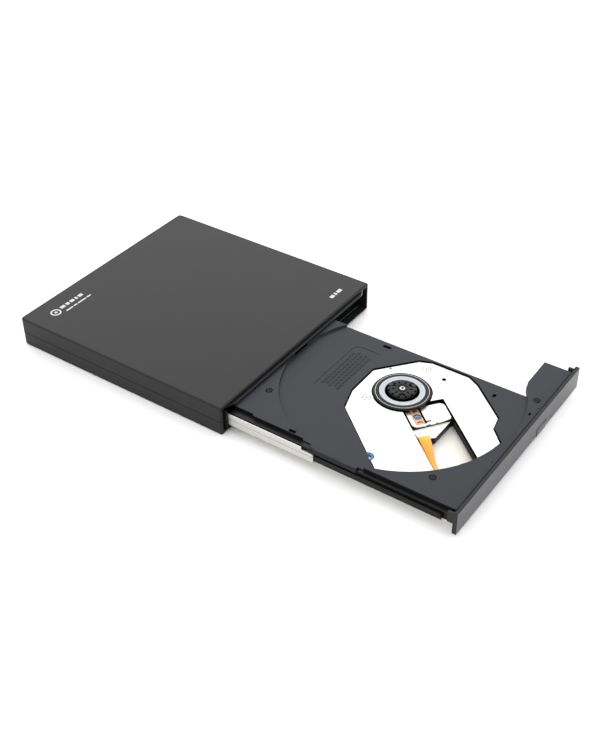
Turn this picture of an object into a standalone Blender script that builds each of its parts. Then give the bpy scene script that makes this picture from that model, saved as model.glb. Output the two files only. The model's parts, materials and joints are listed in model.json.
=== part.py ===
"""External optical drive with its tray open: a slim drive in a two-part plastic enclosure.

Metres, +Z up. The origin is the centre of the enclosure's underside, the tray comes out towards -Y,
and +X is on the right for someone facing the bezel. Joint zero is the open tray.
"""

import math

import bmesh
import bpy
from mathutils import Matrix, Vector

# Gaps between pieces.
GAP = 0.0003
SLIDE_GAP = 0.0003

# Drive body inside the enclosure.
DRIVE_WIDTH = 0.1280
DRIVE_HEIGHT = 0.0127
DRIVE_LENGTH = 0.1269
DRIVE_PROUD = 0.0018
SHEET = 0.0005
PLATE_SHEET = 0.0006
PLATE_CORNER = (0.0067, 0.0031)
PAN_SETBACK = 0.0006

# Enclosure, which is built round the drive body.
SIDE_WALL = 0.0016
TOP_WALL = 0.0018
BOTTOM_WALL = 0.0019
SIDE_ROOM = 0.001575
REAR_ROOM = 0.01055
CASE_WIDTH = DRIVE_WIDTH + 2 * (SIDE_ROOM + SIDE_WALL)
CASE_DEPTH = DRIVE_LENGTH - DRIVE_PROUD + REAR_ROOM + SIDE_WALL
CASE_HEIGHT = BOTTOM_WALL + GAP + DRIVE_HEIGHT + GAP + TOP_WALL
PARTING_HEIGHT = 0.0082
EDGE_RADIUS = 0.0010
CORNER_RADIUS = 0.0022
FOOT_RADIUS = 0.0045
FOOT_DEPTH = 0.0008
FOOT_INSET = 0.0110
CASE_SCREW_RADIUS = 0.0011
CASE_SCREW_HEAD_RADIUS = 0.0020
CASE_SCREW_HEAD_HEIGHT = 0.0010
CASE_BOSS_RADIUS = 0.0024
CASE_BOSS_INSET = 0.0045

# Tray. Its left edges are measured from the drive body's side.
TRAY_TRAVEL = 0.1246
TRAY_LENGTH = DRIVE_LENGTH - 0.0015
TRAY_TOP_DROP = 0.0009
TRAY_THICKNESS = 0.0029
RECESS_RADIUS = 0.0618
RECESS_DEPTH = 0.0014
TRAY_RIGHT = 0.0310
TRAY_LEFT_REAR = 0.0065 - DRIVE_WIDTH / 2
TRAY_LEFT_MIDDLE = 0.0015 - DRIVE_WIDTH / 2
TRAY_LEFT_FRONT = 0.0041 - DRIVE_WIDTH / 2
LEDGE_LEFT = 0.0024 - DRIVE_WIDTH / 2
LEDGE_DROP = 0.0019
SKIRT_WALL = 0.0010
SKIRT_LEFT = 0.0046 - DRIVE_WIDTH / 2
SKIRT_RIGHT = 0.0287
FLOOR_SHEET = 0.0005
FLOOR_DROP = 0.0100

# Bezel.
BEZEL_THICKNESS = 0.0024
BEZEL_RISE = 0.0002
PINHOLE_RADIUS = 0.0006
PINHOLE_X = 0.0319
BUTTON_LEFT = 0.0162
BUTTON_WIDTH = 0.0102
BUTTON_ABOVE_FLOOR = 0.0032
BUTTON_PLAY = 0.0004
HOOK_WIDTH = 0.0012
HOOK_REACH = 0.0031
LAMP_LEFT = 0.0093
LAMP_WIDTH = 0.0035
LAMP_HEIGHT = 0.0010
LAMP_ABOVE_FLOOR = 0.0001

# Side rails.
RAIL_SHEET = 0.0004
RAIL_DEPTH = 0.0020
RAIL_HEIGHT = 0.0046
RAIL_LENGTH = DRIVE_LENGTH - 0.0159
RAIL_SETBACK = 0.0774
RAIL_LIP_SETBACK = 0.0068
RAIL_LIP_HEIGHT = 0.0066
TRAY_RAIL_BODY = 0.0012
TRAY_RAIL_TONGUE = 0.0016

# Spindle and pickup.
SPINDLE_SETBACK = 0.0666
TURNTABLE_RADIUS = 0.0146
CAN_RADIUS = 0.0110
SHAFT_RADIUS = 0.0010
STATOR_RADIUS = 0.0096
BEARING_RADIUS = 0.0028
HUB_RADIUS = 0.00735
RING_INNER = 0.0088
RING_OUTER = 0.0116
CLAW_WIDTH = 0.0024
CLAW_PROUD = 0.0004
PICKUP_ANGLE = math.radians(40.0)
LENS_RADIUS_OUT = 0.0204
LENS_RADIUS = 0.0020
SLED_TRAVEL = 0.0365
SLOT_LEFT = -0.0048
SLOT_RIGHT = 0.0180
SLED_START = 0.0128
SLED_END = 0.0264
GUIDE_SHAFT_RADIUS = 0.0013
NEAR_SHAFT = -0.0152
FAR_SHAFT = 0.0186
SCREW_RADIUS = 0.0012
SCREW_ACROSS = 0.0234
SHAFT_LIFT = 0.0031

ROUND = 32


# Places that follow from the sizes above.
CASE_FRONT = -CASE_DEPTH / 2
CASE_REAR = CASE_DEPTH / 2
DRIVE_BOTTOM = BOTTOM_WALL + GAP
DRIVE_TOP = DRIVE_BOTTOM + DRIVE_HEIGHT
DRIVE_FRONT = CASE_FRONT - DRIVE_PROUD
DRIVE_REAR = DRIVE_FRONT + DRIVE_LENGTH
BEZEL_BACK = DRIVE_FRONT - GAP - TRAY_TRAVEL
BEZEL_FRONT = BEZEL_BACK - BEZEL_THICKNESS
BEZEL_BOTTOM = DRIVE_BOTTOM + BEZEL_RISE
BEZEL_TOP = DRIVE_TOP + BEZEL_RISE
TRAY_FRONT = BEZEL_BACK + GAP
TRAY_REAR = TRAY_FRONT + TRAY_LENGTH
PLATE_UNDERSIDE = DRIVE_TOP - PLATE_SHEET
TRAY_TOP = PLATE_UNDERSIDE - TRAY_TOP_DROP
TRAY_UNDERSIDE = TRAY_TOP - TRAY_THICKNESS
RECESS_FLOOR = TRAY_TOP - RECESS_DEPTH
LEDGE_TOP = TRAY_TOP - LEDGE_DROP
FLOOR_TOP = TRAY_TOP - FLOOR_DROP + FLOOR_SHEET
SPINDLE = Vector((0.0, BEZEL_FRONT + SPINDLE_SETBACK, 0.0))
ALONG = Vector((-math.sin(PICKUP_ANGLE), -math.cos(PICKUP_ANGLE), 0.0))
ACROSS = Vector((math.cos(PICKUP_ANGLE), -math.sin(PICKUP_ANGLE), 0.0))
PLATE_TOP = RECESS_FLOOR - 0.0007
COVER_TOP = TRAY_UNDERSIDE - GAP
CHASSIS_BOTTOM = FLOOR_TOP + 0.0008
CHASSIS_TOP = COVER_TOP
SHAFT_HEIGHT = FLOOR_TOP + SHAFT_LIFT
TURNTABLE_TOP = RECESS_FLOOR + 0.0004
TURNTABLE_SEAT = TURNTABLE_TOP - 0.0004
HUB_TOP = PLATE_UNDERSIDE - GAP
RAIL_BOTTOM = FLOOR_TOP + 0.0014
RAIL_LIP_TOP = RAIL_BOTTOM + RAIL_LIP_HEIGHT
GUIDE_BOTTOM = FLOOR_TOP - FLOOR_SHEET
BOARD_BOTTOM = DRIVE_BOTTOM + SHEET + 0.0007
BOARD_TOP = BOARD_BOTTOM + 0.0010
DAMPERS = (
    Vector((-0.0503, BEZEL_FRONT + 0.0552, 0.0)),
    Vector((-0.0134, BEZEL_FRONT + 0.0792, 0.0)),
    Vector((0.0234, BEZEL_FRONT + 0.0660, 0.0)),
)
DAMPER_RADIUS = 0.0034
DAMPER_BORE = 0.0013
LOBE_RADIUS = 0.0054


def clear_scene():
    for obj in list(bpy.data.objects):
        bpy.data.objects.remove(obj, do_unlink=True)


def new_collection(name):
    collection = bpy.data.collections.new(name)
    bpy.context.scene.collection.children.link(collection)
    return collection


def finish_of(name, colour, roughness, metallic=0.0):
    material = bpy.data.materials.new(name)
    material.use_nodes = True
    shader = material.node_tree.nodes["Principled BSDF"]
    shader.inputs["Base Color"].default_value = (*colour, 1.0)
    shader.inputs["Roughness"].default_value = roughness
    shader.inputs["Metallic"].default_value = metallic
    return material


def plastic_black():
    return finish_of("black_abs", (0.035, 0.035, 0.038), 0.45)


def plastic_tray():
    return finish_of("grey_tray_plastic", (0.095, 0.098, 0.105), 0.55)


def plastic_bezel():
    return finish_of("silver_grey_bezel", (0.28, 0.28, 0.30), 0.40)


def steel_sheet():
    return finish_of("steel_sheet", (0.62, 0.61, 0.58), 0.35, 1.0)


def black_steel():
    return finish_of("blackened_steel", (0.03, 0.03, 0.032), 0.50, 0.6)


def bright_steel():
    return finish_of("bright_steel", (0.80, 0.79, 0.76), 0.22, 1.0)


def rubber():
    return finish_of("black_rubber", (0.02, 0.02, 0.02), 0.85)


def blue_rubber():
    return finish_of("blue_damper_rubber", (0.05, 0.16, 0.45), 0.70)


def board_green():
    return finish_of("circuit_board", (0.02, 0.14, 0.05), 0.50)


def chip_black():
    return finish_of("chip_resin", (0.015, 0.015, 0.015), 0.40)


def ring_rubber():
    return finish_of("pale_ring_rubber", (0.45, 0.50, 0.58), 0.60)


def lens_glass():
    return finish_of("lens_glass", (0.10, 0.20, 0.60), 0.05)


def film_orange():
    return finish_of("polyimide_film", (0.90, 0.42, 0.08), 0.45)


def lamp_clear():
    return finish_of("clear_lamp_plastic", (0.20, 0.24, 0.20), 0.20)


class Maker:
    """Holds the two collections and the finish that new pieces take."""

    def __init__(self):
        self.parts = new_collection("external_optical_drive")
        self.cutters = new_collection("cutters")

    def add(self, name, mesh, helper=False):
        obj = bpy.data.objects.new(name, mesh)
        (self.cutters if helper else self.parts).objects.link(obj)
        if helper:
            obj.hide_render = True
            obj.display_type = "WIRE"
        return obj

    def box(self, name, low, high, helper=False):
        low, high = Vector(low), Vector(high)
        shape = bmesh.new()
        bmesh.ops.create_cube(shape, size=1.0)
        size = high - low
        bmesh.ops.scale(shape, vec=size, verts=shape.verts)
        bmesh.ops.translate(shape, vec=(low + high) / 2, verts=shape.verts)
        mesh = bpy.data.meshes.new(name)
        shape.to_mesh(mesh)
        shape.free()
        return self.add(name, mesh, helper)

    def cylinder(self, name, radius, start, end, segments=ROUND, helper=False):
        start, end = Vector(start), Vector(end)
        axis = end - start
        shape = bmesh.new()
        bmesh.ops.create_cone(
            shape, cap_ends=True, segments=segments, radius1=radius, radius2=radius, depth=axis.length
        )
        turn = axis.to_track_quat("Z", "Y").to_matrix().to_4x4()
        bmesh.ops.transform(shape, matrix=Matrix.Translation((start + end) / 2) @ turn, verts=shape.verts)
        mesh = bpy.data.meshes.new(name)
        shape.to_mesh(mesh)
        shape.free()
        obj = self.add(name, mesh, helper)
        mesh.shade_smooth()
        mesh.set_sharp_from_angle(angle=math.radians(35))
        return obj

    def flat(self, name, outline, low, high, helper=False):
        """A flat outline between two heights, drawn as a 2D curve and made a closed mesh."""
        curve = bpy.data.curves.new(name, "CURVE")
        curve.dimensions = "2D"
        curve.fill_mode = "BOTH"
        curve.extrude = (high - low) / 2
        spline = curve.splines.new("POLY")
        spline.points.add(len(outline) - 1)
        for point, place in zip(spline.points, outline):
            point.co = (place[0], place[1], 0.0, 1.0)
        spline.use_cyclic_u = True
        drawn = bpy.data.objects.new(name + "_drawn", curve)
        self.cutters.objects.link(drawn)
        bpy.context.view_layer.update()
        graph = bpy.context.evaluated_depsgraph_get()
        mesh = bpy.data.meshes.new_from_object(drawn.evaluated_get(graph))
        bpy.data.objects.remove(drawn, do_unlink=True)
        shape = bmesh.new()
        shape.from_mesh(mesh)
        bmesh.ops.remove_doubles(shape, verts=shape.verts, dist=0.000001)
        bmesh.ops.translate(shape, vec=(0.0, 0.0, (low + high) / 2), verts=shape.verts)
        bmesh.ops.recalc_face_normals(shape, faces=shape.faces)
        shape.to_mesh(mesh)
        shape.free()
        mesh.materials.clear()
        return self.add(name, mesh, helper)

    def turned(self, name, profile, centre, steps=ROUND, helper=False):
        """A closed profile of (radius, height) pairs, running down its outer side, turned about +Z."""
        mesh = bpy.data.meshes.new(name)
        points = [(radius, 0.0, height) for radius, height in profile]
        count = len(points)
        closed = all(radius > 0.0 for radius, _ in profile)
        edges = [(i, (i + 1) % count) for i in range(count if closed else count - 1)]
        mesh.from_pydata(points, edges, [])
        obj = self.add(name, mesh, helper)
        obj.location = (centre[0], centre[1], 0.0)
        screw = obj.modifiers.new("turn", "SCREW")
        screw.axis = "Z"
        screw.angle = math.tau
        screw.steps = steps
        screw.render_steps = steps
        screw.use_merge_vertices = True
        screw.merge_threshold = 0.00001
        screw.use_smooth_shade = True
        return obj

    def cut(self, target, cutter):
        modifier = target.modifiers.new("cut_" + cutter.name, "BOOLEAN")
        modifier.operation = "DIFFERENCE"
        modifier.solver = "EXACT"
        modifier.object = cutter

    def join(self, target, other):
        modifier = target.modifiers.new("join_" + other.name, "BOOLEAN")
        modifier.operation = "UNION"
        modifier.solver = "EXACT"
        modifier.object = other

    def keep(self, target, other):
        modifier = target.modifiers.new("keep_" + other.name, "BOOLEAN")
        modifier.operation = "INTERSECT"
        modifier.solver = "EXACT"
        modifier.object = other

    def pivot(self, name, place, children):
        """An empty on a joint's axis that carries the pieces of one moving body."""
        empty = bpy.data.objects.new(name, None)
        empty.location = place
        empty.empty_display_size = 0.005
        self.parts.objects.link(empty)
        bpy.context.view_layer.update()
        for child in children:
            child.parent = empty
            child.matrix_parent_inverse = empty.matrix_world.inverted()
        return empty


def arc(centre, radius, start, end, steps):
    """Points on a circle from one angle to another, in degrees."""
    points = []
    for step in range(steps + 1):
        angle = math.radians(start + (end - start) * step / steps)
        points.append((centre[0] + radius * math.cos(angle), centre[1] + radius * math.sin(angle)))
    return points


def grown(outline, amount):
    """The outline moved outwards by amount, with mitred corners. The outline runs anticlockwise."""
    points = [Vector(p) for p in outline]
    moved = []
    for i, here in enumerate(points):
        before = (here - points[i - 1]).normalized()
        after = (points[(i + 1) % len(points)] - here).normalized()
        out_before = Vector((before.y, -before.x))
        out_after = Vector((after.y, -after.x))
        middle = (out_before + out_after).normalized()
        moved.append(here + middle * (amount / max(middle.dot(out_before), 0.3)))
    return [(p.x, p.y) for p in moved]


def on_tray(x, setback):
    """A place on the tray from its distance behind the bezel's front face."""
    return (x, BEZEL_FRONT + setback)


def by_pickup(along, across, height=0.0):
    """A place from its distance along and across the pickup's path, which starts at the spindle."""
    place = SPINDLE + ALONG * along + ACROSS * across
    place.z = height
    return place


def pickup_quad(along, across):
    """The outline of a rectangle that is square to the pickup's path."""
    corners = (
        (along[0], across[0]),
        (along[1], across[0]),
        (along[1], across[1]),
        (along[0], across[1]),
    )
    return [tuple(by_pickup(*corner).xy) for corner in corners]


# The opening in the tray over the traverse, from the spindle: corners, with one round stretch.
OPENING_RADIUS = 0.0592
OPENING_WEST = (-0.0264, 0.0176)
OPENING_NORTH = ((0.0270, 0.0060), (0.0075, 0.0220), (-0.0130, 0.0218))
OPENING_EAST = ((0.0006, -0.0513), (0.0088, -0.0496), (0.0262, -0.0290))
OPENING_ARC = (198.2, 263.3)
OPENING_RIGHT_RIM = 0.0012
PLATE_INSET = 0.0007
TURNTABLE_HOLE = TURNTABLE_RADIUS + 0.0008


def opening_outline():
    right = TRAY_RIGHT - OPENING_RIGHT_RIM
    points = [OPENING_WEST]
    points += arc((0.0, 0.0), OPENING_RADIUS, *OPENING_ARC, 12)
    points += OPENING_EAST
    points += [(right, -0.0222), (right, -0.0006)]
    points += OPENING_NORTH
    return [(SPINDLE.x + x, SPINDLE.y + y) for x, y in points]


def case_block(make, name, low, high):
    """A slice of the rounded case block, between two heights."""
    half = CASE_WIDTH / 2
    outline = [(-half, CASE_FRONT), (half, CASE_FRONT)]
    outline += arc((half - CORNER_RADIUS, CASE_REAR - CORNER_RADIUS), CORNER_RADIUS, 0, 90, 4)
    outline += arc((CORNER_RADIUS - half, CASE_REAR - CORNER_RADIUS), CORNER_RADIUS, 90, 180, 4)
    block = make.flat(name, outline, 0.0, CASE_HEIGHT)
    bevel = block.modifiers.new("rounded_edges", "BEVEL")
    bevel.width = EDGE_RADIUS
    bevel.segments = 2
    bevel.limit_method = "ANGLE"
    bevel.angle_limit = math.radians(60)
    slab = make.box(
        name + "_slice", (-half - 0.01, CASE_FRONT - 0.01, low), (half + 0.01, CASE_REAR + 0.01, high), True
    )
    make.keep(block, slab)
    return block


def case_bay(make):
    """The hollow of the case, open at the front."""
    half = CASE_WIDTH / 2 - SIDE_WALL
    low = (-half, CASE_FRONT - 0.01, BOTTOM_WALL)
    high = (half, CASE_REAR - SIDE_WALL, CASE_HEIGHT - TOP_WALL)
    return make.box("case_bay", low, high, True)


def boss_places():
    x = CASE_WIDTH / 2 - SIDE_WALL - CASE_BOSS_INSET
    y = CASE_REAR - SIDE_WALL - CASE_BOSS_INSET
    return [(-x, y), (x, y)]


# Sockets on the bridge board.
BRIDGE_TOP = BOTTOM_WALL + 0.0033
BRIDGE_THICKNESS = 0.0010
USB_X = 0.0200
USB_WIDTH = 0.0077
USB_HEIGHT = 0.0039
USB_SHELL = 0.0004
JACK_X = 0.0360
JACK_WIDTH = 0.0070
JACK_HEIGHT = 0.0065
JACK_BORE = 0.0021
JACK_PIN = 0.0006
SOCKET_LENGTH = 0.0085
SOCKET_SETBACK = 0.0005
SOCKET_LOW = BRIDGE_TOP + GAP
SOCKET_REAR = CASE_REAR - SOCKET_SETBACK
CONNECTOR_X = (DRIVE_WIDTH / 2 - 0.0260, DRIVE_WIDTH / 2 - 0.0080)
CONNECTOR_HEIGHT = 0.0040


def socket_openings(make):
    """Cutters for the two socket openings in the rear wall."""
    cutters = []
    for name, x, width, height in (
        ("usb_opening", USB_X, USB_WIDTH, USB_HEIGHT),
        ("jack_opening", JACK_X, JACK_WIDTH, JACK_HEIGHT),
    ):
        low = (x - width / 2 - GAP, CASE_REAR - SIDE_WALL - 0.002, SOCKET_LOW - GAP)
        high = (x + width / 2 + GAP, CASE_REAR + 0.002, SOCKET_LOW + height + GAP)
        cutters.append(make.box(name, low, high, True))
    return cutters


def make_case(make):
    bay = case_bay(make)
    openings = socket_openings(make)
    top = case_block(make, "top_cover", PARTING_HEIGHT + GAP / 2, CASE_HEIGHT + 0.01)
    bottom = case_block(make, "bottom_cover", -0.01, PARTING_HEIGHT - GAP / 2)
    for cover in (top, bottom):
        make.cut(cover, bay)
        for opening in openings:
            make.cut(cover, opening)
        cover.data.materials.append(plastic_black())
    head_low = BOTTOM_WALL - CASE_SCREW_HEAD_HEIGHT - 0.0006
    for side, place in zip(("left", "right"), boss_places()):
        boss = make.cylinder(
            "boss_" + side,
            CASE_BOSS_RADIUS,
            (*place, BOTTOM_WALL + GAP),
            (*place, CASE_HEIGHT - TOP_WALL / 2),
            helper=True,
        )
        make.join(top, boss)
        bore = make.cylinder(
            "bore_" + side, CASE_SCREW_RADIUS + GAP, (*place, 0.0), (*place, PARTING_HEIGHT), 16, True
        )
        make.cut(top, bore)
        make.cut(bottom, bore)
        seat = make.cylinder(
            "seat_" + side,
            CASE_SCREW_HEAD_RADIUS + GAP,
            (*place, -0.001),
            (*place, head_low + CASE_SCREW_HEAD_HEIGHT + GAP),
            24,
            True,
        )
        make.cut(bottom, seat)
        head_high = head_low + CASE_SCREW_HEAD_HEIGHT
        profile = [
            (0.0, PARTING_HEIGHT - GAP),
            (CASE_SCREW_RADIUS, PARTING_HEIGHT - GAP),
            (CASE_SCREW_RADIUS, head_high),
            (CASE_SCREW_HEAD_RADIUS, head_high),
            (CASE_SCREW_HEAD_RADIUS, head_low),
            (0.0, head_low),
        ]
        screw = make.turned("case_screw_" + side, profile, place, 20)
        screw.data.materials.append(black_steel())
    make_feet(make, bottom)


def make_feet(make, bottom):
    x = CASE_WIDTH / 2 - FOOT_INSET
    y = CASE_DEPTH / 2 - FOOT_INSET - 0.004
    for name, sx, sy in (
        ("front_left", -1, -1),
        ("front_right", 1, -1),
        ("rear_left", -1, 1),
        ("rear_right", 1, 1),
    ):
        place = (sx * x, sy * y)
        recess = make.cylinder(
            "recess_" + name, FOOT_RADIUS + GAP, (*place, -0.001), (*place, FOOT_DEPTH + GAP), 24, True
        )
        make.cut(bottom, recess)
        foot = make.cylinder("rubber_foot_" + name, FOOT_RADIUS, (*place, 0.0), (*place, FOOT_DEPTH), 24)
        foot.data.materials.append(rubber())


def make_drive_body(make):
    half = DRIVE_WIDTH / 2
    pan = make.box(
        "drive_base_pan",
        (-half, DRIVE_FRONT + PAN_SETBACK, DRIVE_BOTTOM),
        (half, DRIVE_REAR, PLATE_UNDERSIDE - GAP),
    )
    inside = make.box(
        "pan_inside",
        (SHEET - half, DRIVE_FRONT - 0.01, DRIVE_BOTTOM + SHEET),
        (half - SHEET, DRIVE_REAR - SHEET, DRIVE_TOP),
        True,
    )
    make.cut(pan, inside)
    low = (CONNECTOR_X[0] - GAP, DRIVE_REAR - 0.002, BOARD_TOP)
    high = (CONNECTOR_X[1] + GAP, DRIVE_REAR + 0.002, BOARD_TOP + CONNECTOR_HEIGHT + 2 * GAP)
    make.cut(pan, make.box("connector_opening", low, high, True))
    pan.data.materials.append(steel_sheet())
    edge = half - GAP
    cut_x, cut_y = edge - PLATE_CORNER[0], DRIVE_FRONT + PLATE_CORNER[1]
    outline = [
        (-cut_x, DRIVE_FRONT),
        (cut_x, DRIVE_FRONT),
        (edge, cut_y),
        (edge, DRIVE_REAR),
        (-edge, DRIVE_REAR),
        (-edge, cut_y),
    ]
    plate = make.flat("drive_top_plate", outline, PLATE_UNDERSIDE, DRIVE_TOP)
    plate.data.materials.append(black_steel())


# Rail places, from the tray's side walls outwards.
RAIL_SPREAD = GAP + TRAY_RAIL_BODY + TRAY_RAIL_TONGUE + SLIDE_GAP + RAIL_SHEET
LEFT_RAIL_OUTER = SKIRT_LEFT - RAIL_SPREAD
RIGHT_RAIL_OUTER = SKIRT_RIGHT + RAIL_SPREAD
RAIL_FRONT = BEZEL_FRONT + RAIL_SETBACK
RAIL_REAR = RAIL_FRONT + RAIL_LENGTH


def side_box(make, name, side, outer, inner, y, z, helper=False):
    """A box given from a rail's outer face inwards. Side is -1 on the left and 1 on the right."""
    base = LEFT_RAIL_OUTER if side < 0 else RIGHT_RAIL_OUTER
    ends = sorted((base - side * outer, base - side * inner))
    return make.box(name, (ends[0], y[0], z[0]), (ends[1], y[1], z[1]), helper)


def make_rail(make, name, side):
    top = RAIL_BOTTOM + RAIL_HEIGHT
    ends = (RAIL_FRONT, RAIL_REAR)
    rail = side_box(make, name, side, 0.0, RAIL_DEPTH, ends, (RAIL_BOTTOM, top))
    channel = side_box(
        make,
        name + "_channel",
        side,
        RAIL_SHEET,
        RAIL_DEPTH + 0.001,
        (RAIL_FRONT - 0.001, RAIL_REAR + 0.001),
        (RAIL_BOTTOM + RAIL_SHEET, top - RAIL_SHEET),
        True,
    )
    make.cut(rail, channel)
    if side < 0:
        lip_ends = (RAIL_FRONT + RAIL_LIP_SETBACK, RAIL_REAR)
        lip_heights = (top - RAIL_SHEET, RAIL_LIP_TOP)
        lip = side_box(make, name + "_lip", side, 0.0, RAIL_SHEET, lip_ends, lip_heights, True)
        make.join(rail, lip)
    rail.data.materials.append(bright_steel())
    make.pivot(name + "_slide", (rail.location.x, 0.0, 0.0), [rail])


def make_tray_rail(make, name, side):
    ends = (BEZEL_FRONT + 0.0095, TRAY_REAR - 0.0009)
    wall = RAIL_SPREAD - GAP
    inner = wall - TRAY_RAIL_BODY
    body = side_box(make, name, side, inner, wall, ends, (GUIDE_BOTTOM + 0.0008, TRAY_UNDERSIDE - GAP))
    tongue = side_box(
        make,
        name + "_tongue",
        side,
        RAIL_SHEET + SLIDE_GAP,
        inner + TRAY_RAIL_BODY / 2,
        ends,
        (RAIL_BOTTOM + RAIL_SHEET + SLIDE_GAP, RAIL_BOTTOM + RAIL_HEIGHT - RAIL_SHEET - SLIDE_GAP),
        True,
    )
    make.join(body, tongue)
    body.data.materials.append(plastic_black())
    return body


def make_guides(make):
    ends = (DRIVE_FRONT + 0.0010, DRIVE_REAR - SHEET - GAP)
    low = (GUIDE_BOTTOM, RAIL_BOTTOM - SLIDE_GAP)
    wall = (low[0], RAIL_BOTTOM + RAIL_HEIGHT + SLIDE_GAP)
    rear = (ends[1] - 0.0016, ends[1])
    left = side_box(make, "left_guide", -1, 0.0, RAIL_DEPTH, ends, low)
    make.join(left, side_box(make, "left_guide_back", -1, 0.0, RAIL_DEPTH, rear, wall, True))
    right = side_box(make, "right_guide", 1, -0.0015, RAIL_DEPTH, ends, low)
    make.join(right, side_box(make, "right_guide_wall", 1, -0.0015, -SLIDE_GAP, ends, wall, True))
    for guide in (left, right):
        guide.data.materials.append(plastic_black())


def make_boards(make):
    left = RIGHT_RAIL_OUTER + 0.0021
    right = DRIVE_WIDTH / 2 - SHEET - 0.0009
    board = make.box(
        "main_board", (left, DRIVE_FRONT + 0.0044, BOARD_BOTTOM), (right, DRIVE_REAR - 0.0085, BOARD_TOP)
    )
    middle = (left + right) / 2
    chip = make.box(
        "main_chip",
        (middle - 0.0070, DRIVE_REAR - 0.0685, BOARD_TOP + GAP),
        (middle + 0.0070, DRIVE_REAR - 0.0545, BOARD_TOP + GAP + 0.0014),
    )
    plug_end = DRIVE_REAR + 0.0008
    plug = make.box(
        "drive_connector",
        (CONNECTOR_X[0], DRIVE_REAR - 0.0115, BOARD_TOP + GAP),
        (CONNECTOR_X[1], plug_end, BOARD_TOP + GAP + CONNECTOR_HEIGHT),
    )
    flex_top = DRIVE_BOTTOM + SHEET + GAP
    flex = make.box(
        "board_flex",
        (middle - 0.0590, DRIVE_REAR - 0.0465, flex_top - 0.0001),
        (middle - 0.0010, DRIVE_REAR - 0.0345, flex_top),
    )
    bridge_front = DRIVE_REAR + 0.0012
    bridge = make.box(
        "usb_bridge_board",
        (-0.0320, bridge_front, BRIDGE_TOP - BRIDGE_THICKNESS),
        (0.0570, CASE_REAR - SIDE_WALL - GAP, BRIDGE_TOP),
    )
    bridge_chip = make.box(
        "bridge_chip",
        (-0.0100, bridge_front + 0.0015, BRIDGE_TOP + GAP),
        (-0.0030, bridge_front + 0.0085, BRIDGE_TOP + GAP + 0.0011),
    )
    socket = make.box(
        "bridge_connector",
        (CONNECTOR_X[0] + 0.0060, plug_end + GAP, BRIDGE_TOP + GAP),
        (CONNECTOR_X[1], plug_end + 0.0034, BRIDGE_TOP + GAP + 0.0031),
    )
    for piece in (board, bridge):
        piece.data.materials.append(board_green())
    for piece in (chip, bridge_chip, plug, socket):
        piece.data.materials.append(chip_black())
    flex.data.materials.append(film_orange())
    make_sockets(make)


def make_sockets(make):
    front = SOCKET_REAR - SOCKET_LENGTH
    half = USB_WIDTH / 2
    usb = make.box(
        "mini_usb_socket",
        (USB_X - half, front, SOCKET_LOW),
        (USB_X + half, SOCKET_REAR, SOCKET_LOW + USB_HEIGHT),
    )
    hollow = make.box(
        "usb_hollow",
        (USB_X - half + USB_SHELL, SOCKET_REAR - 0.0060, SOCKET_LOW + USB_SHELL),
        (USB_X + half - USB_SHELL, SOCKET_REAR + 0.001, SOCKET_LOW + USB_HEIGHT - USB_SHELL),
        True,
    )
    make.cut(usb, hollow)
    middle = SOCKET_LOW + USB_HEIGHT / 2
    tongue = make.box(
        "usb_tongue",
        (USB_X - half + 0.0018, SOCKET_REAR - 0.0065, middle - 0.0004),
        (USB_X + half - 0.0018, SOCKET_REAR - 0.0012, middle + 0.0004),
        True,
    )
    make.join(usb, tongue)
    usb.data.materials.append(bright_steel())
    half = JACK_WIDTH / 2
    jack = make.box(
        "dc_jack", (JACK_X - half, front, SOCKET_LOW), (JACK_X + half, SOCKET_REAR, SOCKET_LOW + JACK_HEIGHT)
    )
    middle = SOCKET_LOW + JACK_HEIGHT / 2
    bore = make.cylinder(
        "jack_bore",
        JACK_BORE,
        (JACK_X, SOCKET_REAR - 0.0070, middle),
        (JACK_X, SOCKET_REAR + 0.001, middle),
        24,
        True,
    )
    make.cut(jack, bore)
    pin = make.cylinder(
        "jack_pin",
        JACK_PIN,
        (JACK_X, SOCKET_REAR - 0.0075, middle),
        (JACK_X, SOCKET_REAR - 0.0010, middle),
        16,
        True,
    )
    make.join(jack, pin)
    jack.data.materials.append(chip_black())


# Outer corners of the tray: setbacks are from the bezel's front face.
EAR_RIGHT = DRIVE_WIDTH / 2 - 0.0038
EAR_REAR = 0.0177
LATCH_PIVOT = (0.0090, BEZEL_FRONT + 0.0131)
LATCH_POST = 0.0011


def tray_outline():
    front = BEZEL_THICKNESS + GAP
    rear = front + TRAY_LENGTH
    corners = (
        (TRAY_LEFT_FRONT, front),
        (EAR_RIGHT, front),
        (EAR_RIGHT, EAR_REAR),
        (0.0407, EAR_REAR - 0.0003),
        (0.0357, EAR_REAR - 0.0016),
        (TRAY_RIGHT, 0.0132),
        (TRAY_RIGHT, rear),
        (TRAY_LEFT_REAR, rear),
        (TRAY_LEFT_REAR, 0.1167),
        (TRAY_LEFT_REAR - 0.0011, 0.1155),
        (TRAY_LEFT_REAR - 0.0011, 0.0818),
        (TRAY_LEFT_MIDDLE + 0.0010, 0.0797),
        (TRAY_LEFT_MIDDLE, 0.0770),
        (TRAY_LEFT_MIDDLE, 0.0540),
        (TRAY_LEFT_FRONT, 0.0536),
    )
    return [on_tray(*corner) for corner in corners]


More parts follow.
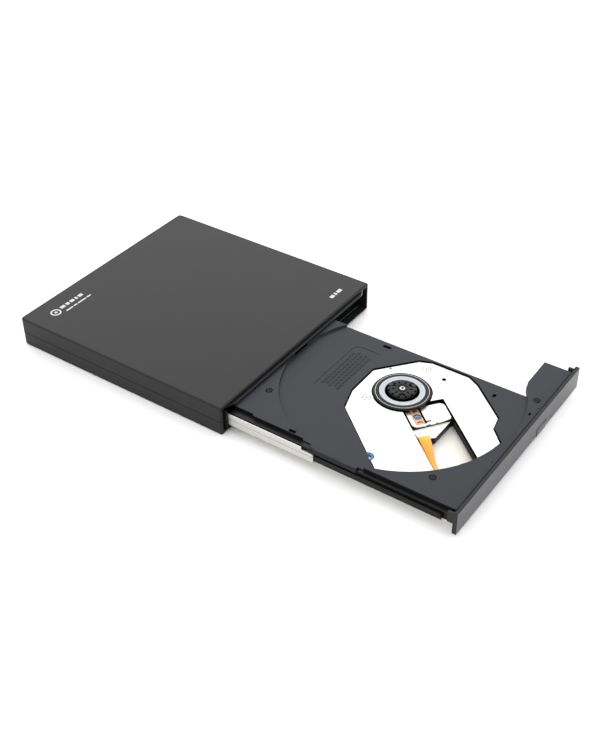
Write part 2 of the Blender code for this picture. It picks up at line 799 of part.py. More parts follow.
def make_tray(make):
    tray = make.flat("tray", tray_outline(), TRAY_UNDERSIDE, TRAY_TOP)
    ledge = make.box(
        "tray_ledge",
        (LEDGE_LEFT, BEZEL_FRONT + 0.0040, TRAY_UNDERSIDE + 0.00002),
        (TRAY_LEFT_REAR + 0.004, TRAY_REAR - 0.00002, LEDGE_TOP),
        True,
    )
    make.join(tray, ledge)
    skirt = make.box(
        "tray_skirt",
        (SKIRT_LEFT, TRAY_FRONT + 0.00003, FLOOR_TOP + GAP),
        (SKIRT_RIGHT, TRAY_REAR - 0.00003, TRAY_UNDERSIDE + 0.0005),
        True,
    )
    hollow = make.box(
        "skirt_hollow",
        (SKIRT_LEFT + SKIRT_WALL, TRAY_FRONT + SKIRT_WALL, FLOOR_TOP - 0.001),
        (SKIRT_RIGHT - SKIRT_WALL, TRAY_REAR - SKIRT_WALL, TRAY_UNDERSIDE),
        True,
    )
    make.join(tray, skirt)
    make.cut(tray, hollow)
    recess = make.cylinder(
        "disc_recess",
        RECESS_RADIUS,
        (SPINDLE.x, SPINDLE.y, RECESS_FLOOR),
        (SPINDLE.x, SPINDLE.y, TRAY_TOP + 0.002),
        96,
        True,
    )
    make.cut(tray, recess)
    around = (TRAY_UNDERSIDE - 0.001, TRAY_TOP + 0.001)
    make.cut(tray, make.flat("tray_opening", opening_outline(), *around, True))
    window = make.box(
        "front_window",
        (0.0084, TRAY_FRONT - 0.001, FLOOR_TOP - 0.001),
        (0.0275, TRAY_FRONT + SKIRT_WALL + 0.001, FLOOR_TOP + 0.0045),
        True,
    )
    make.cut(tray, window)
    post = make.cylinder(
        "latch_post",
        LATCH_POST,
        (*LATCH_PIVOT, FLOOR_TOP + GAP),
        (*LATCH_PIVOT, TRAY_UNDERSIDE + 0.0005),
        20,
        True,
    )
    make.join(tray, post)
    tray.data.materials.append(plastic_tray())
    floor = make.box(
        "tray_bottom_cover",
        (SKIRT_LEFT, TRAY_FRONT, FLOOR_TOP - FLOOR_SHEET),
        (SKIRT_RIGHT, TRAY_REAR, FLOOR_TOP),
    )
    floor.data.materials.append(steel_sheet())
    return [tray, floor]


def make_bezel(make):
    half = DRIVE_WIDTH / 2
    bezel = make.box("bezel", (-half, BEZEL_FRONT, BEZEL_BOTTOM), (half, BEZEL_BACK, BEZEL_TOP))
    bevel = bezel.modifiers.new("soft_edges", "BEVEL")
    bevel.width = 0.0004
    bevel.segments = 2
    for name, side in (("left", -1), ("right", 1)):
        outer = half - 0.0008
        ends = sorted((side * (outer - HOOK_WIDTH), side * outer))
        hook = make.box(
            "bezel_hook_" + name,
            (ends[0], BEZEL_BACK - 0.0008, BEZEL_BOTTOM + 0.0053),
            (ends[1], BEZEL_BACK + HOOK_REACH, BEZEL_TOP - 0.0013),
            True,
        )
        make.join(bezel, hook)
    button_top = FLOOR_TOP + BUTTON_ABOVE_FLOOR
    opening = make.box(
        "button_opening",
        (BUTTON_LEFT - BUTTON_PLAY, BEZEL_FRONT - 0.001, BEZEL_BOTTOM - 0.001),
        (BUTTON_LEFT + BUTTON_WIDTH + BUTTON_PLAY, BEZEL_BACK + 0.001, button_top + BUTTON_PLAY),
        True,
    )
    make.cut(bezel, opening)
    lamp_low = FLOOR_TOP + LAMP_ABOVE_FLOOR
    lamp = make.box(
        "lamp_opening",
        (LAMP_LEFT - GAP, BEZEL_FRONT - 0.001, lamp_low - GAP),
        (LAMP_LEFT + LAMP_WIDTH + GAP, BEZEL_BACK + 0.001, lamp_low + LAMP_HEIGHT + GAP),
        True,
    )
    make.cut(bezel, lamp)
    pin_height = FLOOR_TOP + 0.0012
    pinhole = make.cylinder(
        "pinhole",
        PINHOLE_RADIUS,
        (PINHOLE_X, BEZEL_FRONT - 0.001, pin_height),
        (PINHOLE_X, BEZEL_BACK + 0.001, pin_height),
        16,
        True,
    )
    make.cut(bezel, pinhole)
    bezel.data.materials.append(plastic_bezel())
    pipe = make.box(
        "light_pipe",
        (LAMP_LEFT, BEZEL_FRONT, lamp_low),
        (LAMP_LEFT + LAMP_WIDTH, TRAY_FRONT + 0.0010, lamp_low + LAMP_HEIGHT),
    )
    pipe.data.materials.append(lamp_clear())
    return [bezel, pipe]


SWITCH_PLAY = 0.0008
SWITCH_FRONT = TRAY_FRONT + 0.0020


def make_button(make):
    top = FLOOR_TOP + BUTTON_ABOVE_FLOOR
    button = make.box(
        "eject_button",
        (BUTTON_LEFT, BEZEL_FRONT - 0.0002, BEZEL_BOTTOM),
        (BUTTON_LEFT + BUTTON_WIDTH, BEZEL_FRONT + 0.0019, top),
    )
    bevel = button.modifiers.new("soft_edges", "BEVEL")
    bevel.width = 0.0003
    bevel.segments = 2
    middle = BUTTON_LEFT + BUTTON_WIDTH / 2
    stem = make.box(
        "button_stem",
        (middle - 0.0011, BEZEL_FRONT + 0.0012, top - 0.0018),
        (middle + 0.0011, SWITCH_FRONT - SWITCH_PLAY, top - 0.0004),
        True,
    )
    make.join(button, stem)
    button.data.materials.append(plastic_bezel())
    return button


def make_front_electronics(make):
    board = make.box(
        "front_board",
        (0.0105, TRAY_FRONT + SKIRT_WALL + GAP, FLOOR_TOP + GAP),
        (0.0270, TRAY_FRONT + 0.0080, FLOOR_TOP + GAP + 0.0008),
    )
    board.data.materials.append(board_green())
    middle = BUTTON_LEFT + BUTTON_WIDTH / 2
    switch = make.box(
        "eject_switch",
        (middle - 0.0018, SWITCH_FRONT, FLOOR_TOP + GAP + 0.0011),
        (middle + 0.0018, SWITCH_FRONT + 0.0026, FLOOR_TOP + GAP + 0.0031),
    )
    switch.data.materials.append(chip_black())
    solenoid = make.box(
        "latch_solenoid",
        (-0.0040, TRAY_FRONT + 0.0022, FLOOR_TOP + GAP),
        (0.0050, TRAY_FRONT + 0.0080, FLOOR_TOP + GAP + 0.0042),
    )
    solenoid.data.materials.append(chip_black())
    return [board, switch, solenoid]


def make_latch(make):
    x, y = LATCH_PIVOT
    outline = [
        (x - 0.0034, y - 0.0016),
        (x + 0.0035, y - 0.0016),
        (x + 0.0055, y + 0.0031),
        (x + 0.0035, y + 0.0036),
        (x + 0.0018, y + 0.0020),
        (x - 0.0034, y + 0.0020),
    ]
    low = FLOOR_TOP + GAP + 0.0008
    lever = make.flat("latch_lever", outline, low, low + 0.0012)
    bore = make.cylinder("latch_bore", LATCH_POST + GAP, (x, y, low - 0.001), (x, y, low + 0.003), 20, True)
    make.cut(lever, bore)
    lever.data.materials.append(steel_sheet())
    return lever


# The traverse: chassis, plate, shafts and motors, along and across the pickup's path.
CHASSIS_ALONG = (-0.0160, 0.0665)
CHASSIS_ACROSS = (-0.0198, 0.0290)
MOTOR_WELL = CAN_RADIUS + 0.0016
NOSE_REACH = 0.0078
WINDOW_START = 0.0090
WINDOW_END = SLED_END + SLED_TRAVEL + 0.0006
FAR_END = 0.0625
SHAFT_START = 0.0050
NEAR_SHAFT_END = WINDOW_END + 0.0017
FAR_SHAFT_END = FAR_END + 0.0010
SCREW_START = 0.0123
SCREW_END = 0.0580
FEED_MOTOR_RADIUS = 0.0025
FEED_MOTOR_ALONG = (-0.0034, SCREW_START - GAP)


def make_plate(make):
    low = PLATE_TOP - SHEET
    plate = make.flat("traverse_plate", grown(opening_outline(), -PLATE_INSET), low, PLATE_TOP)
    around = (low - 0.001, PLATE_TOP + 0.001)
    hole = make.cylinder(
        "turntable_hole",
        TURNTABLE_HOLE,
        (SPINDLE.x, SPINDLE.y, around[0]),
        (SPINDLE.x, SPINDLE.y, around[1]),
        48,
        True,
    )
    make.cut(plate, hole)
    slot = pickup_quad((0.0065, 0.0700), (SLOT_LEFT, SLOT_RIGHT))
    make.cut(plate, make.flat("pickup_slot", slot, *around, True))
    for number, place in enumerate(DAMPERS, 1):
        low_end, high_end = ((place.x, place.y, height) for height in around)
        hole = make.cylinder(f"plate_hole_{number}", DAMPER_RADIUS - GAP, low_end, high_end, 24, True)
        make.cut(plate, hole)
    plate.data.materials.append(bright_steel())
    return plate


def make_chassis(make):
    low, high = CHASSIS_BOTTOM, CHASSIS_TOP
    chassis = make.flat("traverse_chassis", pickup_quad(CHASSIS_ALONG, CHASSIS_ACROSS), low, high)
    lobe_low = low + 0.0009
    lobe_high = lobe_low + 0.0024
    arm = pickup_quad((0.0366, 0.0456), (-0.0300, CHASSIS_ACROSS[0] + 0.002))
    make.join(chassis, make.flat("damper_arm", arm, lobe_low, lobe_high, True))
    for number, place in enumerate(DAMPERS, 1):
        low_end, high_end = ((place.x, place.y, height) for height in (lobe_low, lobe_high))
        lobe = make.cylinder(f"lobe_{number}", LOBE_RADIUS, low_end, high_end, 24, True)
        make.join(chassis, lobe)
        wells = (("under", (low - 0.001, lobe_low + 0.00002)), ("over", (lobe_high - 0.00002, high + 0.001)))
        for level, ends in wells:
            well = make.cylinder(
                f"damper_well_{level}_{number}",
                DAMPER_RADIUS + GAP,
                (place.x, place.y, ends[0]),
                (place.x, place.y, ends[1]),
                24,
                True,
            )
            make.cut(chassis, well)
        bore = make.cylinder(
            f"lobe_bore_{number}",
            DAMPER_RADIUS - 0.0007,
            (place.x, place.y, low - 0.001),
            (place.x, place.y, high + 0.001),
            24,
            True,
        )
        make.cut(chassis, bore)
    room = make.box(
        "chassis_room",
        (SKIRT_LEFT + SKIRT_WALL + GAP, TRAY_FRONT + SKIRT_WALL + GAP, low - 0.002),
        (SKIRT_RIGHT - SKIRT_WALL - GAP, TRAY_REAR, high + 0.002),
        True,
    )
    make.keep(chassis, room)
    well = make.cylinder(
        "motor_well",
        MOTOR_WELL,
        (SPINDLE.x, SPINDLE.y, low - 0.001),
        (SPINDLE.x, SPINDLE.y, high + 0.001),
        48,
        True,
    )
    make.cut(chassis, well)
    pocket = FEED_MOTOR_RADIUS + GAP
    rows = (
        ("sled_window", (WINDOW_START, WINDOW_END), (-0.0182, 0.0140)),
        ("far_window", (WINDOW_START, FAR_END), (0.0139, 0.0222)),
        ("nose_notch", (WINDOW_END - 0.0025, CHASSIS_ALONG[1] + 0.001), (-0.0048, 0.0161)),
        ("screw_window", (SCREW_START + 0.0017, SCREW_END - 0.0020), (0.0221, 0.0272)),
        (
            "motor_pocket",
            (FEED_MOTOR_ALONG[0] - GAP, FEED_MOTOR_ALONG[1] + GAP),
            (SCREW_ACROSS - pocket, SCREW_ACROSS + pocket),
        ),
    )
    for name, along, across in rows:
        make.cut(chassis, make.flat(name, pickup_quad(along, across), low - 0.001, high + 0.001, True))
    bores = (
        ("near_shaft_bore", GUIDE_SHAFT_RADIUS, NEAR_SHAFT, SHAFT_START, NEAR_SHAFT_END),
        ("far_shaft_bore", GUIDE_SHAFT_RADIUS, FAR_SHAFT, SHAFT_START, FAR_SHAFT_END),
        ("screw_bore", SCREW_RADIUS, SCREW_ACROSS, SCREW_START - 0.001, SCREW_END),
    )
    for name, radius, across, start, end in bores:
        bore = make.cylinder(
            name,
            radius + GAP,
            by_pickup(start - GAP, across, SHAFT_HEIGHT),
            by_pickup(end + GAP, across, SHAFT_HEIGHT),
            20,
            True,
        )
        make.cut(chassis, bore)
    chassis.data.materials.append(plastic_black())
    return chassis


def make_shafts(make):
    pieces = []
    for name, across, end in (
        ("near_guide_shaft", NEAR_SHAFT, NEAR_SHAFT_END),
        ("far_guide_shaft", FAR_SHAFT, FAR_SHAFT_END),
    ):
        start = by_pickup(SHAFT_START, across, SHAFT_HEIGHT)
        shaft = make.cylinder(name, GUIDE_SHAFT_RADIUS, start, by_pickup(end, across, SHAFT_HEIGHT), 20)
        shaft.data.materials.append(bright_steel())
        pieces.append(shaft)
    ends = [by_pickup(along, SCREW_ACROSS, SHAFT_HEIGHT) for along in FEED_MOTOR_ALONG]
    motor = make.cylinder("feed_motor", FEED_MOTOR_RADIUS, *ends, 28)
    motor.data.materials.append(steel_sheet())
    pieces.append(motor)
    return pieces


def make_lead_screw(make):
    start = by_pickup(SCREW_START, SCREW_ACROSS, SHAFT_HEIGHT)
    end = by_pickup(SCREW_END, SCREW_ACROSS, SHAFT_HEIGHT)
    screw = make.cylinder("lead_screw", SCREW_RADIUS, start, end, 16)
    screw.data.materials.append(bright_steel())
    make.pivot("lead_screw_spin", start, [screw])


def make_dampers(make):
    pieces = []
    low = FLOOR_TOP + GAP
    waist_low = CHASSIS_BOTTOM + 0.0006
    waist_high = waist_low + 0.0030
    high = waist_high + 0.0010
    bore = DAMPER_BORE
    waist = DAMPER_RADIUS - 0.0010
    for number, place in enumerate(DAMPERS, 1):
        profile = [
            (bore, high),
            (DAMPER_RADIUS, high),
            (DAMPER_RADIUS, waist_high),
            (waist, waist_high),
            (waist, waist_low),
            (DAMPER_RADIUS, waist_low),
            (DAMPER_RADIUS, low),
            (bore, low),
        ]
        damper = make.turned(f"rubber_damper_{number}", profile, place, 28)
        damper.data.materials.append(blue_rubber())
        head = high + GAP
        profile = [
            (0.0, head + 0.0006),
            (0.0024, head + 0.0006),
            (0.0024, head),
            (bore - GAP, head),
            (bore - GAP, low),
            (0.0, low),
        ]
        screw = make.turned(f"damper_screw_{number}", profile, place, 20)
        screw.data.materials.append(black_steel())
        pieces += [damper, screw]
    return pieces


def make_spindle_base(make):
    base_top = CHASSIS_BOTTOM + 0.0006
    base = make.cylinder(
        "motor_base_plate",
        MOTOR_WELL - GAP,
        (SPINDLE.x, SPINDLE.y, base_top - 0.0005),
        (SPINDLE.x, SPINDLE.y, base_top),
        40,
    )
    trim = make.flat("base_trim", pickup_quad((0.0100, 0.0300), (-0.0300, 0.0300)), 0.0, 0.01, True)
    make.cut(base, trim)
    base.data.materials.append(steel_sheet())
    low, high = base_top + GAP, TURNTABLE_SEAT - 0.0021
    bore = SHAFT_RADIUS + GAP
    profile = [(bore, high), (BEARING_RADIUS, high), (BEARING_RADIUS, low), (bore, low)]
    bearing = make.turned("spindle_bearing", profile, SPINDLE, 24)
    bearing.data.materials.append(steel_sheet())
    low, high = low + 0.0006, high - 0.0006
    inner = BEARING_RADIUS + GAP
    profile = [(inner, high), (STATOR_RADIUS, high), (STATOR_RADIUS, low), (inner, low)]
    stator = make.turned("spindle_stator", profile, SPINDLE, 36)
    stator.data.materials.append(film_orange())
    return [base, bearing, stator]


CAN_TOP = TURNTABLE_SEAT - 0.0018
CAN_LOW = CHASSIS_BOTTOM + 0.0013


def make_spindle(make):
    groove = TURNTABLE_SEAT - 0.0003
    rim = TURNTABLE_TOP - 0.0001
    profile = [
        (0.0, TURNTABLE_SEAT),
        (RING_INNER - GAP, TURNTABLE_SEAT),
        (RING_INNER - GAP, groove),
        (RING_OUTER + GAP, groove),
        (RING_OUTER + GAP, rim),
        (TURNTABLE_RADIUS, rim),
        (TURNTABLE_RADIUS, TURNTABLE_SEAT - 0.0008),
        (CAN_RADIUS, TURNTABLE_SEAT - 0.0008),
        (CAN_RADIUS, CAN_LOW),
        (STATOR_RADIUS + 0.0005, CAN_LOW),
        (STATOR_RADIUS + 0.0005, CAN_TOP),
        (SHAFT_RADIUS, CAN_TOP),
        (SHAFT_RADIUS, CAN_LOW - 0.0003),
        (0.0, CAN_LOW - 0.0003),
    ]
    turntable = make.turned("turntable", profile, SPINDLE, 48)
    turntable.data.materials.append(black_steel())
    ring_low = groove + GAP
    ring_high = TURNTABLE_TOP + 0.00015
    profile = [(RING_INNER, ring_high), (RING_OUTER, ring_high)]
    profile += [(RING_OUTER, ring_low), (RING_INNER, ring_low)]
    ring = make.turned("friction_ring", profile, SPINDLE, 48)
    ring.data.materials.append(ring_rubber())
    low = TURNTABLE_SEAT + GAP
    profile = [
        (0.0, HUB_TOP),
        (HUB_RADIUS - 0.0011, HUB_TOP),
        (HUB_RADIUS, HUB_TOP - 0.0007),
        (HUB_RADIUS, low),
        (0.0, low),
    ]
    hub = make.turned("clamp_hub", profile, SPINDLE, 48)
    hub.data.materials.append(plastic_black())
    claws = [make_claw(make, hub, number) for number in range(3)]
    spin = make.pivot("spindle_spin", SPINDLE, [turntable, ring, hub])
    for claw in claws:
        claw.parent = spin
        claw.matrix_parent_inverse = spin.matrix_world.inverted()


CLAW_ANGLES = (90.0, 210.0, 330.0)
CLAW_INNER = 0.0053
CLAW_TRAVEL = 0.0005


def make_claw(make, hub, number):
    """One sprung claw in its slot. It is drawn along +X and turned to its place round the spindle."""
    turn = Matrix.Rotation(math.radians(CLAW_ANGLES[number]), 4, "Z")
    place = Matrix.Translation(SPINDLE) @ turn
    seat = TURNTABLE_SEAT + GAP
    slot = make.box(
        f"claw_slot_{number + 1}",
        (CLAW_INNER - CLAW_TRAVEL - GAP, -CLAW_WIDTH / 2 - GAP, seat + 0.0003),
        (HUB_RADIUS + 0.002, CLAW_WIDTH / 2 + GAP, HUB_TOP + 0.001),
        True,
    )
    slot.matrix_world = place
    make.cut(hub, slot)
    low, high = seat + 0.0006, HUB_TOP - 0.0003
    nose = HUB_RADIUS + CLAW_PROUD
    outline = [
        (CLAW_INNER, low),
        (HUB_RADIUS - 0.0004, low),
        (nose, (low + high) / 2),
        (HUB_RADIUS - 0.0010, high),
        (CLAW_INNER, high),
    ]
    claw = make.flat(f"hub_claw_{number + 1}", outline, -CLAW_WIDTH / 2, CLAW_WIDTH / 2)
    claw.data.transform(place @ Matrix.Rotation(math.radians(90), 4, "X"))
    claw.data.materials.append(plastic_black())
    return claw


SLED_LOW = CHASSIS_BOTTOM + 0.0003
SLED_HIGH = COVER_TOP - 0.0009
NOSE_TOP = SLED_HIGH - 0.0008
LENS_POCKET = ((SLED_START + 0.0008, SLED_END - 0.0014), (-0.0032, 0.0036))


def make_sled(make):
    corners = (
        (SLED_START + 0.0022, -0.0179),
        (0.0240, -0.0179),
        (0.0240, -0.0128),
        (SLED_END, -0.0042),
        (0.0246, 0.0172),
        (0.0240, 0.0219),
        (0.0145, 0.0219),
        (SLED_START - 0.0010, 0.0150),
        (SLED_START - 0.0028, 0.0060),
        (SLED_START - 0.0028, -0.0060),
        (SLED_START, -0.0110),
    )
    outline = [tuple(by_pickup(*corner).xy) for corner in corners]
    base = make.flat("pickup_base", outline, SLED_LOW, SLED_HIGH)
    corners = (
        (SLED_END - 0.0012, -0.0038),
        (SLED_END + 0.0066, -0.0028),
        (SLED_END + NOSE_REACH, 0.0052),
        (0.0249, 0.0164),
        (0.0240, 0.0150),
    )
    outline = [tuple(by_pickup(*corner).xy) for corner in corners]
    make.join(base, make.flat("sled_nose", outline, SLED_LOW, NOSE_TOP, True))
    relief = make.cylinder(
        "can_relief",
        CAN_RADIUS + 0.0009,
        (SPINDLE.x, SPINDLE.y, SLED_LOW - 0.001),
        (SPINDLE.x, SPINDLE.y, SLED_HIGH + 0.001),
        48,
        True,
    )
    make.cut(base, relief)
    pocket = pickup_quad(*LENS_POCKET)
    make.cut(base, make.flat("lens_pocket", pocket, SLED_HIGH - 0.0021, SLED_HIGH + 0.002, True))
    for name, across in (("near_bearing", NEAR_SHAFT), ("far_bearing", FAR_SHAFT)):
        bore = make.cylinder(
            name,
            GUIDE_SHAFT_RADIUS + GAP,
            by_pickup(SLED_START - 0.006, across, SHAFT_HEIGHT),
            by_pickup(SLED_END + 0.002, across, SHAFT_HEIGHT),
            20,
            True,
        )
        make.cut(base, bore)
    base.data.materials.append(steel_sheet())
    corners = (
        (SLED_START - 0.0004, -0.0042),
        (SLED_END, -0.0042),
        (0.0246, 0.0172),
        (0.0140, 0.0176),
        (0.0118, 0.0156),
    )
    outline = [tuple(by_pickup(*corner).xy) for corner in corners]
    cover = make.flat("pickup_cover", outline, COVER_TOP - 0.0006, COVER_TOP)
    make.cut(cover, make.flat("lens_window", pocket, COVER_TOP - 0.002, COVER_TOP + 0.001, True))
    cover.data.materials.append(bright_steel())
    holder, lens = make_lens(make)
    make.pivot("sled_slide", by_pickup(LENS_RADIUS_OUT, 0.0), [base, cover, holder, lens])


def make_lens(make):
    place = by_pickup(LENS_RADIUS_OUT, 0.0)
    low, high = SLED_HIGH - 0.0017, COVER_TOP - 0.0001
    along = (LENS_RADIUS_OUT - 0.0046, LENS_RADIUS_OUT + 0.0034)
    holder = make.flat("lens_holder", pickup_quad(along, (-0.0026, 0.0029)), low, high)
    seat = make.cylinder(
        "lens_seat",
        LENS_RADIUS + GAP,
        (place.x, place.y, high - 0.0005),
        (place.x, place.y, high + 0.001),
        24,
        True,
    )
    make.cut(holder, seat)
    holder.data.materials.append(plastic_black())
    base = high - 0.0002
    profile = [(0.0, base + 0.0006), (0.0009, base + 0.0005), (0.0016, base + 0.0003)]
    profile += [(LENS_RADIUS, base), (0.0, base)]
    lens = make.turned("objective_lens", profile, place, 24)
    lens.data.materials.append(lens_glass())
    return holder, lens


def make_pickup_flex(make):
    low = FLOOR_TOP + GAP - 0.0001
    flex = make.flat("pickup_flex", pickup_quad((0.0300, 0.0620), (-0.0030, 0.0033)), low, low + 0.0002)
    flex.data.materials.append(film_orange())
    return flex


def build():
    clear_scene()
    make = Maker()
    make_case(make)
    make_drive_body(make)
    make_guides(make)
    make_boards(make)
    make_rail(make, "left_rail", -1)
    make_rail(make, "right_rail", 1)
    riders = make_tray(make) + make_bezel(make) + make_front_electronics(make)
    riders += [make_tray_rail(make, "left_tray_rail", -1), make_tray_rail(make, "right_tray_rail", 1)]
    riders += [make_plate(make), make_chassis(make), make_pickup_flex(make)]
    riders += make_shafts(make) + make_dampers(make) + make_spindle_base(make)
    make.pivot("tray_slide", (0.0, TRAY_REAR, 0.0), riders)
    make.pivot("eject_button_press", (BUTTON_LEFT + BUTTON_WIDTH / 2, BEZEL_FRONT, 0.0), [make_button(make)])
    make.pivot("latch_turn", (*LATCH_PIVOT, 0.0), [make_latch(make)])
    make_lead_screw(make)
    make_spindle(make)
    make_sled(make)


build()
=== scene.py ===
"""The looks of an external optical drive with its tray open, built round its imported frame.

Metres, +Z up. The tray comes out towards -Y and +X is on the right for someone facing the bezel.
"""

import json
import math

import bmesh
import bpy
from mathutils import Matrix, Vector

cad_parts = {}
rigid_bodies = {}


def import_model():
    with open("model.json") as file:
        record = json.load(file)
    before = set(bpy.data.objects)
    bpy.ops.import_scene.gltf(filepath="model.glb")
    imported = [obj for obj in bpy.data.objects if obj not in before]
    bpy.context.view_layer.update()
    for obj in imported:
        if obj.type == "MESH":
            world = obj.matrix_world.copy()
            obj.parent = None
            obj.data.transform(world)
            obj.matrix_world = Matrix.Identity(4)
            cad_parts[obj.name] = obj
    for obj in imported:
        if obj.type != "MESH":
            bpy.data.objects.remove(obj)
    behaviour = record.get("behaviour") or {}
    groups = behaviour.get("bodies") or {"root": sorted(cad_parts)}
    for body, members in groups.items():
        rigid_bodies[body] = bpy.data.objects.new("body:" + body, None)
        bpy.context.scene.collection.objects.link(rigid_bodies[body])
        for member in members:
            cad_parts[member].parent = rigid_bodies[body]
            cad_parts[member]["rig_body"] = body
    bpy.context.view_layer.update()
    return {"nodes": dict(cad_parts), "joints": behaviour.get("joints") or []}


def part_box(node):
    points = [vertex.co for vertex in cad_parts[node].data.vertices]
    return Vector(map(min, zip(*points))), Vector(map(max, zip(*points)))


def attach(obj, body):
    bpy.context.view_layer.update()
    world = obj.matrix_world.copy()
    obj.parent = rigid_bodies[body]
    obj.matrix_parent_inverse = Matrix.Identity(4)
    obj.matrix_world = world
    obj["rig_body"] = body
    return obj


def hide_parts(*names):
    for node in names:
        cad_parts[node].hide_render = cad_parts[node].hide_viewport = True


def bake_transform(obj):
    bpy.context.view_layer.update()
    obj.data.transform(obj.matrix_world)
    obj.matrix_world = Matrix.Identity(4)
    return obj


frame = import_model()

bl_info = {
    "name": "External optical drive",
    "version": (1, 0, 0),
    "blender": (4, 5, 0),
    "location": "3D View > Sidebar > Optical drive",
    "description": "Builds the shells, tray, spindle and pickup of an external optical drive",
    "category": "Object",
}

# Places and directions that the frame gives.
CASE_LOW, CASE_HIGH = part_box("bottom_cover")[0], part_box("top_cover")[1]
PARTING_GAP = 0.0003
PARTING = (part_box("bottom_cover")[1].z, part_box("bottom_cover")[1].z + PARTING_GAP)
TRAY_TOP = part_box("tray")[1].z
BEZEL_LOW, BEZEL_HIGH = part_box("bezel")
PLATE_LOW, PLATE_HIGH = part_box("traverse_plate")
TURNTABLE_LOW, TURNTABLE_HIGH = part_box("turntable")
HUB_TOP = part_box("clamp_hub")[1].z
PICKUP_LOW, PICKUP_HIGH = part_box("pickup_cover")
SPINDLE = (TURNTABLE_LOW + TURNTABLE_HIGH) / 2
AXES = {joint["name"]: Vector(joint["axis"]) for joint in frame["joints"]}
ALONG = AXES["sled_slide"]
ACROSS = Vector((-ALONG.y, ALONG.x, 0.0))

# Lengths below which nothing shows: steps to merge, gaps to leave, and points to take as one.
MERGE = 0.00003
EPS = 0.00001
TINY = 0.000001


# ---------------------------------------------------------------- settings
def linear(code):
    """The linear RGB of an sRGB hex colour."""
    channels = [int(code[i : i + 2], 16) / 255 for i in (1, 3, 5)]
    return [c / 12.92 if c <= 0.04045 else ((c + 0.055) / 1.055) ** 2.4 for c in channels]


def size(name, description, default):
    kept = {"min": 0.0, "precision": 5, "unit": "LENGTH", "subtype": "DISTANCE"}
    return bpy.props.FloatProperty(name=name, description=description, default=default, **kept)


def colour(name, description, code):
    kept = {"size": 3, "min": 0.0, "max": 1.0, "subtype": "COLOR"}
    return bpy.props.FloatVectorProperty(name=name, description=description, default=linear(code), **kept)


class EnclosureSettings(bpy.types.PropertyGroup):
    edge_radius: size("Edge radius", "Rounding of the enclosure's outer edges", 0.0010)
    corner_radius: size("Corner radius", "Rounding of the two rear corners seen from above", 0.0022)
    side_wall: size("Side wall", "Thickness of the side and rear walls", 0.0016)
    top_wall: size("Top wall", "Thickness of the top cover's roof", 0.0018)
    bottom_wall: size("Bottom wall", "Thickness of the bottom cover's floor", 0.0019)
    shell: colour("Shell", "Moulded black plastic of both covers", "#151517")
    ink: colour("Ink", "Printed marks on the top cover", "#b8b8b8")


class TraySettings(bpy.types.PropertyGroup):
    edge: size("Edge rounding", "Rounding of the tray's moulded edges", 0.00018)
    groove_width: size("Groove width", "Width of the sunk line behind the disc recess", 0.00045)
    groove_depth: size("Groove depth", "Depth of the sunk line behind the disc recess", 0.00020)
    plastic: colour("Tray", "Moulded dark grey plastic of the tray", "#27282d")
    # The runner colour also serves as painted shade in the tray's channel, slot floors and opening walls, and
    # on the moulded marks.
    runner: colour("Runner", "Black plastic of the tray's side runners", "#0f0f10")


class BezelSettings(bpy.types.PropertyGroup):
    edge: size("Edge rounding", "Rounding of the bezel's outer edges", 0.00035)
    face: colour("Face", "Satin front of the bezel and of the eject button", "#333437")
    back: colour("Body", "Top, ends and back of the bezel", "#1d1d1f")


class MetalSettings(bpy.types.PropertyGroup):
    plate: colour("Traverse plate", "Bright finished steel of the traverse plate", "#cbcac7")
    rail: colour("Rails", "Bright rolled steel of the side rails", "#c4c3bf")
    sheet: colour("Sheet", "Zinc-plated steel of the pan and small brackets", "#b9b8b3")
    floor: colour("Tray floor", "Pale lacquered sheet below the traverse", "#ebe8df")
    # The black steel colour also serves as painted shade on the pan, the plate's side walls, the far guide
    # shaft and the rails' fold lines.
    black: colour("Black steel", "Blackened steel of the top plate and turntable", "#1a1a1b")


class SpindleSettings(bpy.types.PropertyGroup):
    ring: colour("Friction ring", "Pale rubber ring that carries the disc", "#a9aeb2")
    hub: colour("Hub", "Black plastic of the clamping hub", "#080809")


class PickupSettings(bpy.types.PropertyGroup):
    frame: colour("Lens frame", "Copper alloy springs and frame round the lens", "#b9906d")
    lens: colour("Lens", "Coating colour of the objective lens", "#184a78")
    film: colour("Film", "Orange polyimide film of the flat cable", "#eba51c")


class StageSettings(bpy.types.PropertyGroup):
    floor: colour("Floor", "Pale studio floor", "#f4f4f4")
    key: bpy.props.FloatProperty(
        name="Key light", description="Power of the big softbox behind", default=4.0, unit="POWER"
    )
    sky: bpy.props.FloatProperty(name="Sky", description="Strength of the even studio light", default=1.6)


class DriveSettings(bpy.types.PropertyGroup):
    enclosure: bpy.props.PointerProperty(type=EnclosureSettings)
    tray: bpy.props.PointerProperty(type=TraySettings)
    bezel: bpy.props.PointerProperty(type=BezelSettings)
    metal: bpy.props.PointerProperty(type=MetalSettings)
    spindle: bpy.props.PointerProperty(type=SpindleSettings)
    pickup: bpy.props.PointerProperty(type=PickupSettings)
    stage: bpy.props.PointerProperty(type=StageSettings)


def settings():
    return bpy.context.scene.optical_drive


# ---------------------------------------------------------------- materials
def add_node(tree, kind, values=None, links=None, **attributes):
    """Adds a node with its settings: values go to its inputs and links join its inputs to outputs."""
    node = tree.nodes.new(kind)
    for name, value in attributes.items():
        setattr(node, name, value)
    for name, value in (values or {}).items():
        node.inputs[name].default_value = value
    for name, output in (links or {}).items():
        tree.links.new(output, node.inputs[name])
    return node


